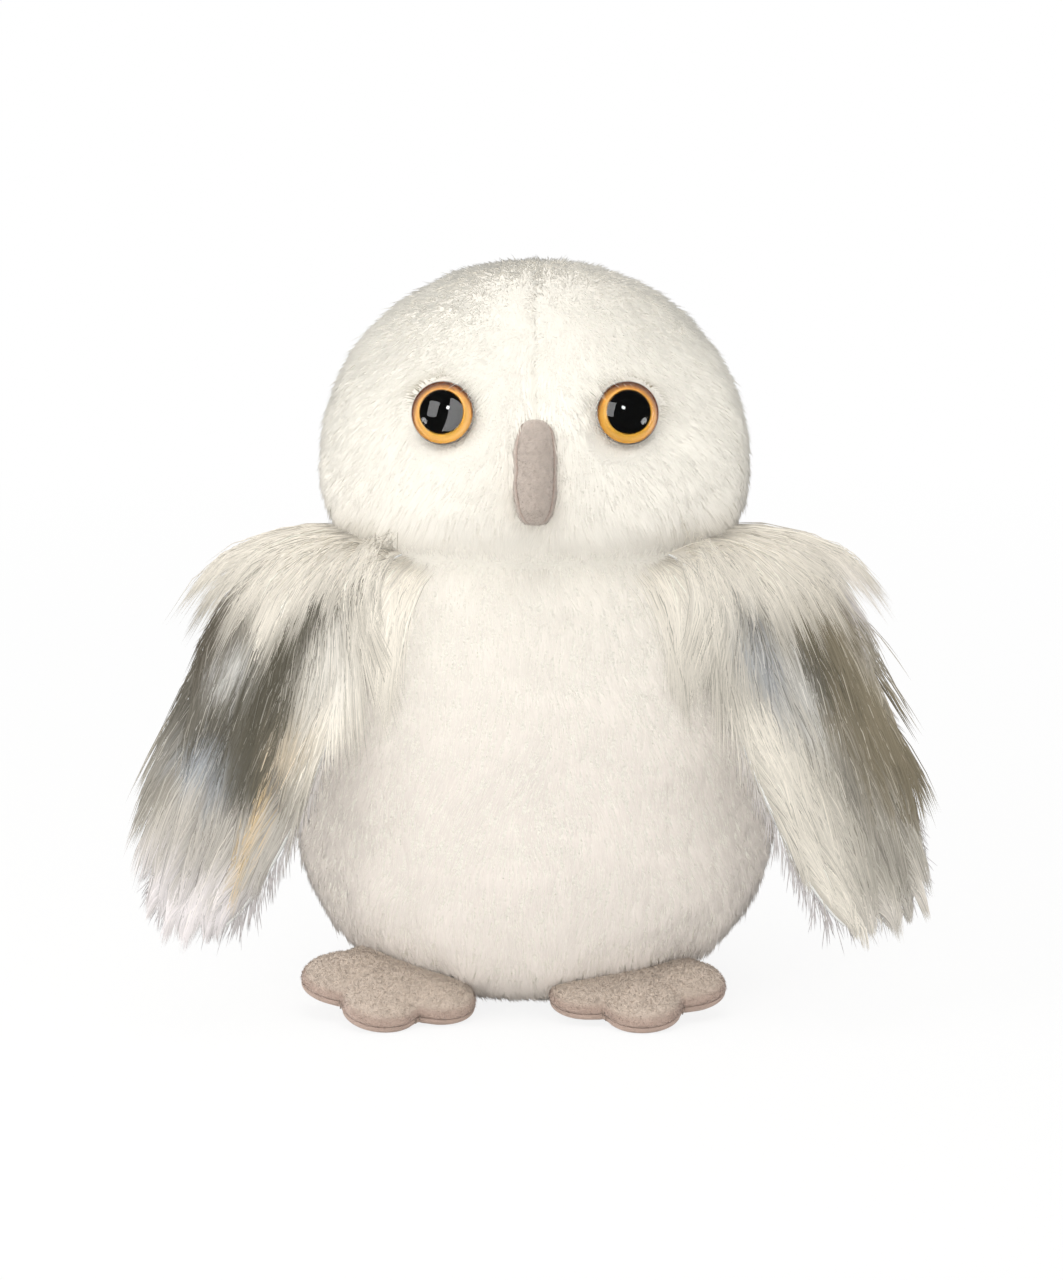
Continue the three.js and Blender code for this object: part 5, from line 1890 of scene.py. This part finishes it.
class OWL_OT_filling(bpy.types.Operator):
    """Fill the owl: fibre in the head, body, beak and feet, and the pouch of pellets"""

    bl_idname = "owl.filling"
    bl_label = "Filling"

    def execute(self, context):
        fibre = bpy.data.materials["Polyester fibre"]
        woven = pouch_cloth()

        def lumpy(points):
            """Pressed in by lumps."""
            inward = unit(points - points.mean(0))
            return points - inward * (clouds(points, 7.0, 51) * 0.9)[:, None]

        pouch_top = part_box("pellet_pouch")[1][2] / MM

        def over_pouch(points):
            """Lumpy, and raised over the pouch."""
            points = lumpy(points)
            wide, deep = (half + 1 for half in POUCH["halves"])
            far = np.hypot(points[:, 0] / wide, points[:, 1] / deep)
            top = 5.0 + (pouch_top - 4.4) * superellipse(far, POUCH["power"])
            low = points[:, 2] < 40
            points[:, 2] = np.where(low & (far < 1), np.maximum(points[:, 2], top), points[:, 2])
            return points

        def with_wells(points):
            """Lumpy, with a well behind each eye for its post and washer."""
            points = lumpy(points)
            post, washer = (3.4, -13.8), (8.4, -9.2)  # the radius and the end of each well
            for side in (1, -1):
                middle, axis = eye_frame(side)
                depth = (points - middle) @ axis
                away = np.linalg.norm(points - middle - depth[:, None] * axis, axis=1)
                floor = np.where(away < post[0], post[1], washer[1])
                sunk = (away < washer[0]) & (depth > floor) & (depth > -25)
                points = points + np.where(sunk, floor - depth, 0)[:, None] * axis
            return points

        for name, form, reshape, body, rows, columns in (
            ("body", BODY, over_pouch, "body", 70, 110),
            ("head", HEAD, with_wells, "head", 80, 160),
        ):
            points, faces = rounded(form, FILLING_DEPTH, rows, columns, reshape)
            piece = new_piece(name + "_fibre", points, faces, body, "fibre", fibre)
            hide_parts(name + "_stuffing")

        low, high = (np.array(c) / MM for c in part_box("pellet_pouch"))
        pouch = {
            **BEAK,
            "bottom": low[2],
            "middle": mix(low[2], high[2], POUCH["middle"]),
            "top": high[2],
            "halves": POUCH["halves"],
            "bottom_halves": tuple(half * POUCH["foot"] for half in POUCH["halves"]),
            "lower_power": POUCH["power"],
            "upper_power": POUCH["power"],
        }

        def pellets(points):
            """Pressed in between the pellets."""
            centre = points.mean(0)
            return points - unit(points - centre) * (clouds(points, 3.0, 52) * 0.7)[:, None]

        points, faces = rounded(pouch, 0.0, 40, 90, pellets)
        piece = new_piece("pellet_pouch_cloth", points, faces, "body", "pouch", woven)
        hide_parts("pellet_pouch")

        middle, turn = beak_frame()

        def in_beak(points):
            """In the beak's place, and in front of the face."""
            points = middle + points @ turn.T
            points[:, 1] = np.minimum(points[:, 1], face_at(points) + 0.7)
            return points

        points, faces = rounded(BEAK, 1.6, 30, 40, in_beak)
        piece = new_piece("beak_fibre", points, faces, "head", "fibre", fibre)
        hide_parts("beak_stuffing")
        for foot in FEET:
            place = foot_place(*foot)
            top, _, (rows, columns) = foot_layer(place, True, 1.7, 14, 90)
            sole, _, _ = foot_layer(place, False, 1.7, 14, 90)
            points, faces = there_and_back(top, sole, rows, columns)
            name = place[2]
            piece = new_piece(name + "_fibre", points, faces, name, "fibre", fibre)
            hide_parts(name + "_stuffing")
        return {"FINISHED"}


class OWL_OT_stage(bpy.types.Operator):
    """Set the camera, the lamps, the room's light and the floor"""

    bl_idname = "owl.stage"
    bl_label = "Stage"

    def execute(self, context):
        stage = context.scene.owl_stage
        context.scene.view_settings.view_transform = "Standard"
        camera = bpy.data.objects.new("Camera", bpy.data.cameras.new("Camera"))
        context.scene.collection.objects.link(camera)
        up, away = math.sin(stage.elevation), math.cos(stage.elevation)
        target = np.array([-0.001, 0.0, 0.1012])
        camera.location = target + stage.distance * np.array([0, -away, up])
        camera.rotation_euler = (math.pi / 2 - stage.elevation, 0, 0)
        camera.data.lens = camera.data.sensor_width * stage.distance / stage.frame_height
        context.scene.camera = camera

        # Name, place, size, radiance and colour
        lamps = (
            ("Window", (-0.62, -0.85, 0.62), (0.52, 0.76), stage.key, (1.0, 0.985, 0.96)),
            ("Side", (-1.5, -0.25, 0.75), (0.9, 0.9), 1.8, (1.0, 0.99, 0.975)),
            ("Ceiling", (0.0, -0.5, 1.55), (1.0, 1.0), 2.9, (1.0, 0.99, 0.97)),
            ("Gloss pane", (-0.6, -0.8, 0.58), (0.48, 0.7), 5.5, (1, 1, 1)),
            ("Gloss spark", (0.02, -0.95, 0.68), (0.15, 0.15), 45.0, (1, 1, 1)),
        )
        for name, place, size, radiance, shade in lamps:
            data = bpy.data.lights.new(name, "AREA")
            round_one, gloss = name.endswith("spark"), name.startswith("Gloss")
            data.shape = "DISK" if round_one else "RECTANGLE"
            data.size, data.size_y = size
            area = size[0] * size[1] * (math.pi / 4 if round_one else 1)
            data.energy = radiance * area * math.pi
            data.color = shade
            lamp = bpy.data.objects.new(name, data)
            lamp.visible_glossy = lamp.visible_transmission = gloss
            lamp.visible_diffuse = not gloss
            context.scene.collection.objects.link(lamp)
            lamp.location = place
            toward = target - np.array(place)
            turn = math.atan2(toward[0], -toward[1])
            tilt = math.atan2(-toward[2], math.hypot(toward[0], toward[1]))
            lamp.rotation_euler = (math.pi / 2 - tilt, 0, math.pi + turn)

        world = bpy.data.worlds.new("Room")
        context.scene.world = world
        world.use_nodes = True
        tree = world.node_tree
        back = tree.nodes["Background"]
        back.inputs["Color"].default_value = (1, 1, 1, 1)
        room = Finish.__new__(Finish)
        room.tree = tree
        behind = room.behind(room.node("TexCoord", output="Generated"), -0.2, 0.3)
        white, dark = room.seen(behind)
        room.put(back.inputs["Strength"], white + (1 - white) * (1 - dark * 0.95) * stage.sky)

        finish = Finish("Paper floor", Base_Color=paint(244, 244, 243), Roughness=0.9)
        behind = finish.behind(finish.place(), -0.05, 0.25)
        flat = finish.node("VectorMath", {"operation": "LENGTH"}, [finish.place()], "Value")
        white, hidden = finish.seen(behind)
        share = white * (0.86 + flat.clamped(0.2, 0.8) * 0.14)
        glow = finish.node("Emission", inputs={"Color": (1, 1, 1), "Strength": 1.0})
        dark = finish.node("Emission", inputs={"Color": (1, 1, 1), "Strength": 0.05})
        shown = finish.shader.outputs[0]
        for part, light in ((hidden, dark), (share, glow)):
            mixed = finish.node("MixShader", inputs=[part])
            finish.tree.links.new(shown, mixed.socket.node.inputs[1])
            finish.tree.links.new(light.socket, mixed.socket.node.inputs[2])
            shown = mixed.socket
        finish.tree.links.new(shown, finish.output.inputs["Surface"])
        count, radius, drop = 128, 1800, 0.05
        rim = around_at(np.linspace(0, 360, count + 1)[:-1]) * radius - UP * drop
        points = np.concatenate([rim, [[0, 0, -drop]]])
        around = np.arange(count)
        faces = np.stack([around, (around + 1) % count, np.full(count, count)], -1)
        floor = new_piece("paper_floor", points, faces, None, None, finish.material)
        return {"FINISHED"}


class OWL_PT_panel(bpy.types.Panel):
    """Owl settings and pieces"""

    bl_label = "Plush owl"
    bl_space_type = "VIEW_3D"
    bl_region_type = "UI"
    bl_category = "Owl"

    def draw(self, context):
        """The groups' settings in boxes, and a button for each operator."""
        for group, kind in GROUPS.items():
            box = self.layout.box()
            box.label(text=kind.__doc__)
            for key in kind.__annotations__:
                box.prop(getattr(context.scene, group), key)
        for operator in OPERATORS:
            self.layout.operator(operator.bl_idname)


OPERATORS = (
    OWL_OT_stage,
    OWL_OT_body,
    OWL_OT_head,
    OWL_OT_eyes,
    OWL_OT_beak,
    OWL_OT_feet,
    OWL_OT_wings,
    OWL_OT_filling,
)
CLASSES = (*GROUPS.values(), *OPERATORS, OWL_PT_panel)


def register():
    for kind in CLASSES:
        bpy.utils.register_class(kind)
    for group, kind in GROUPS.items():
        setattr(bpy.types.Scene, group, PointerProperty(type=kind))


def unregister():
    for group in GROUPS:
        delattr(bpy.types.Scene, group)
    for kind in reversed(CLASSES):
        bpy.utils.unregister_class(kind)


def main():
    register()
    for operator in OPERATORS:
        name = operator.bl_idname.split(".")[1]
        getattr(bpy.ops.owl, name)()


if __name__ == "__main__":
    main()
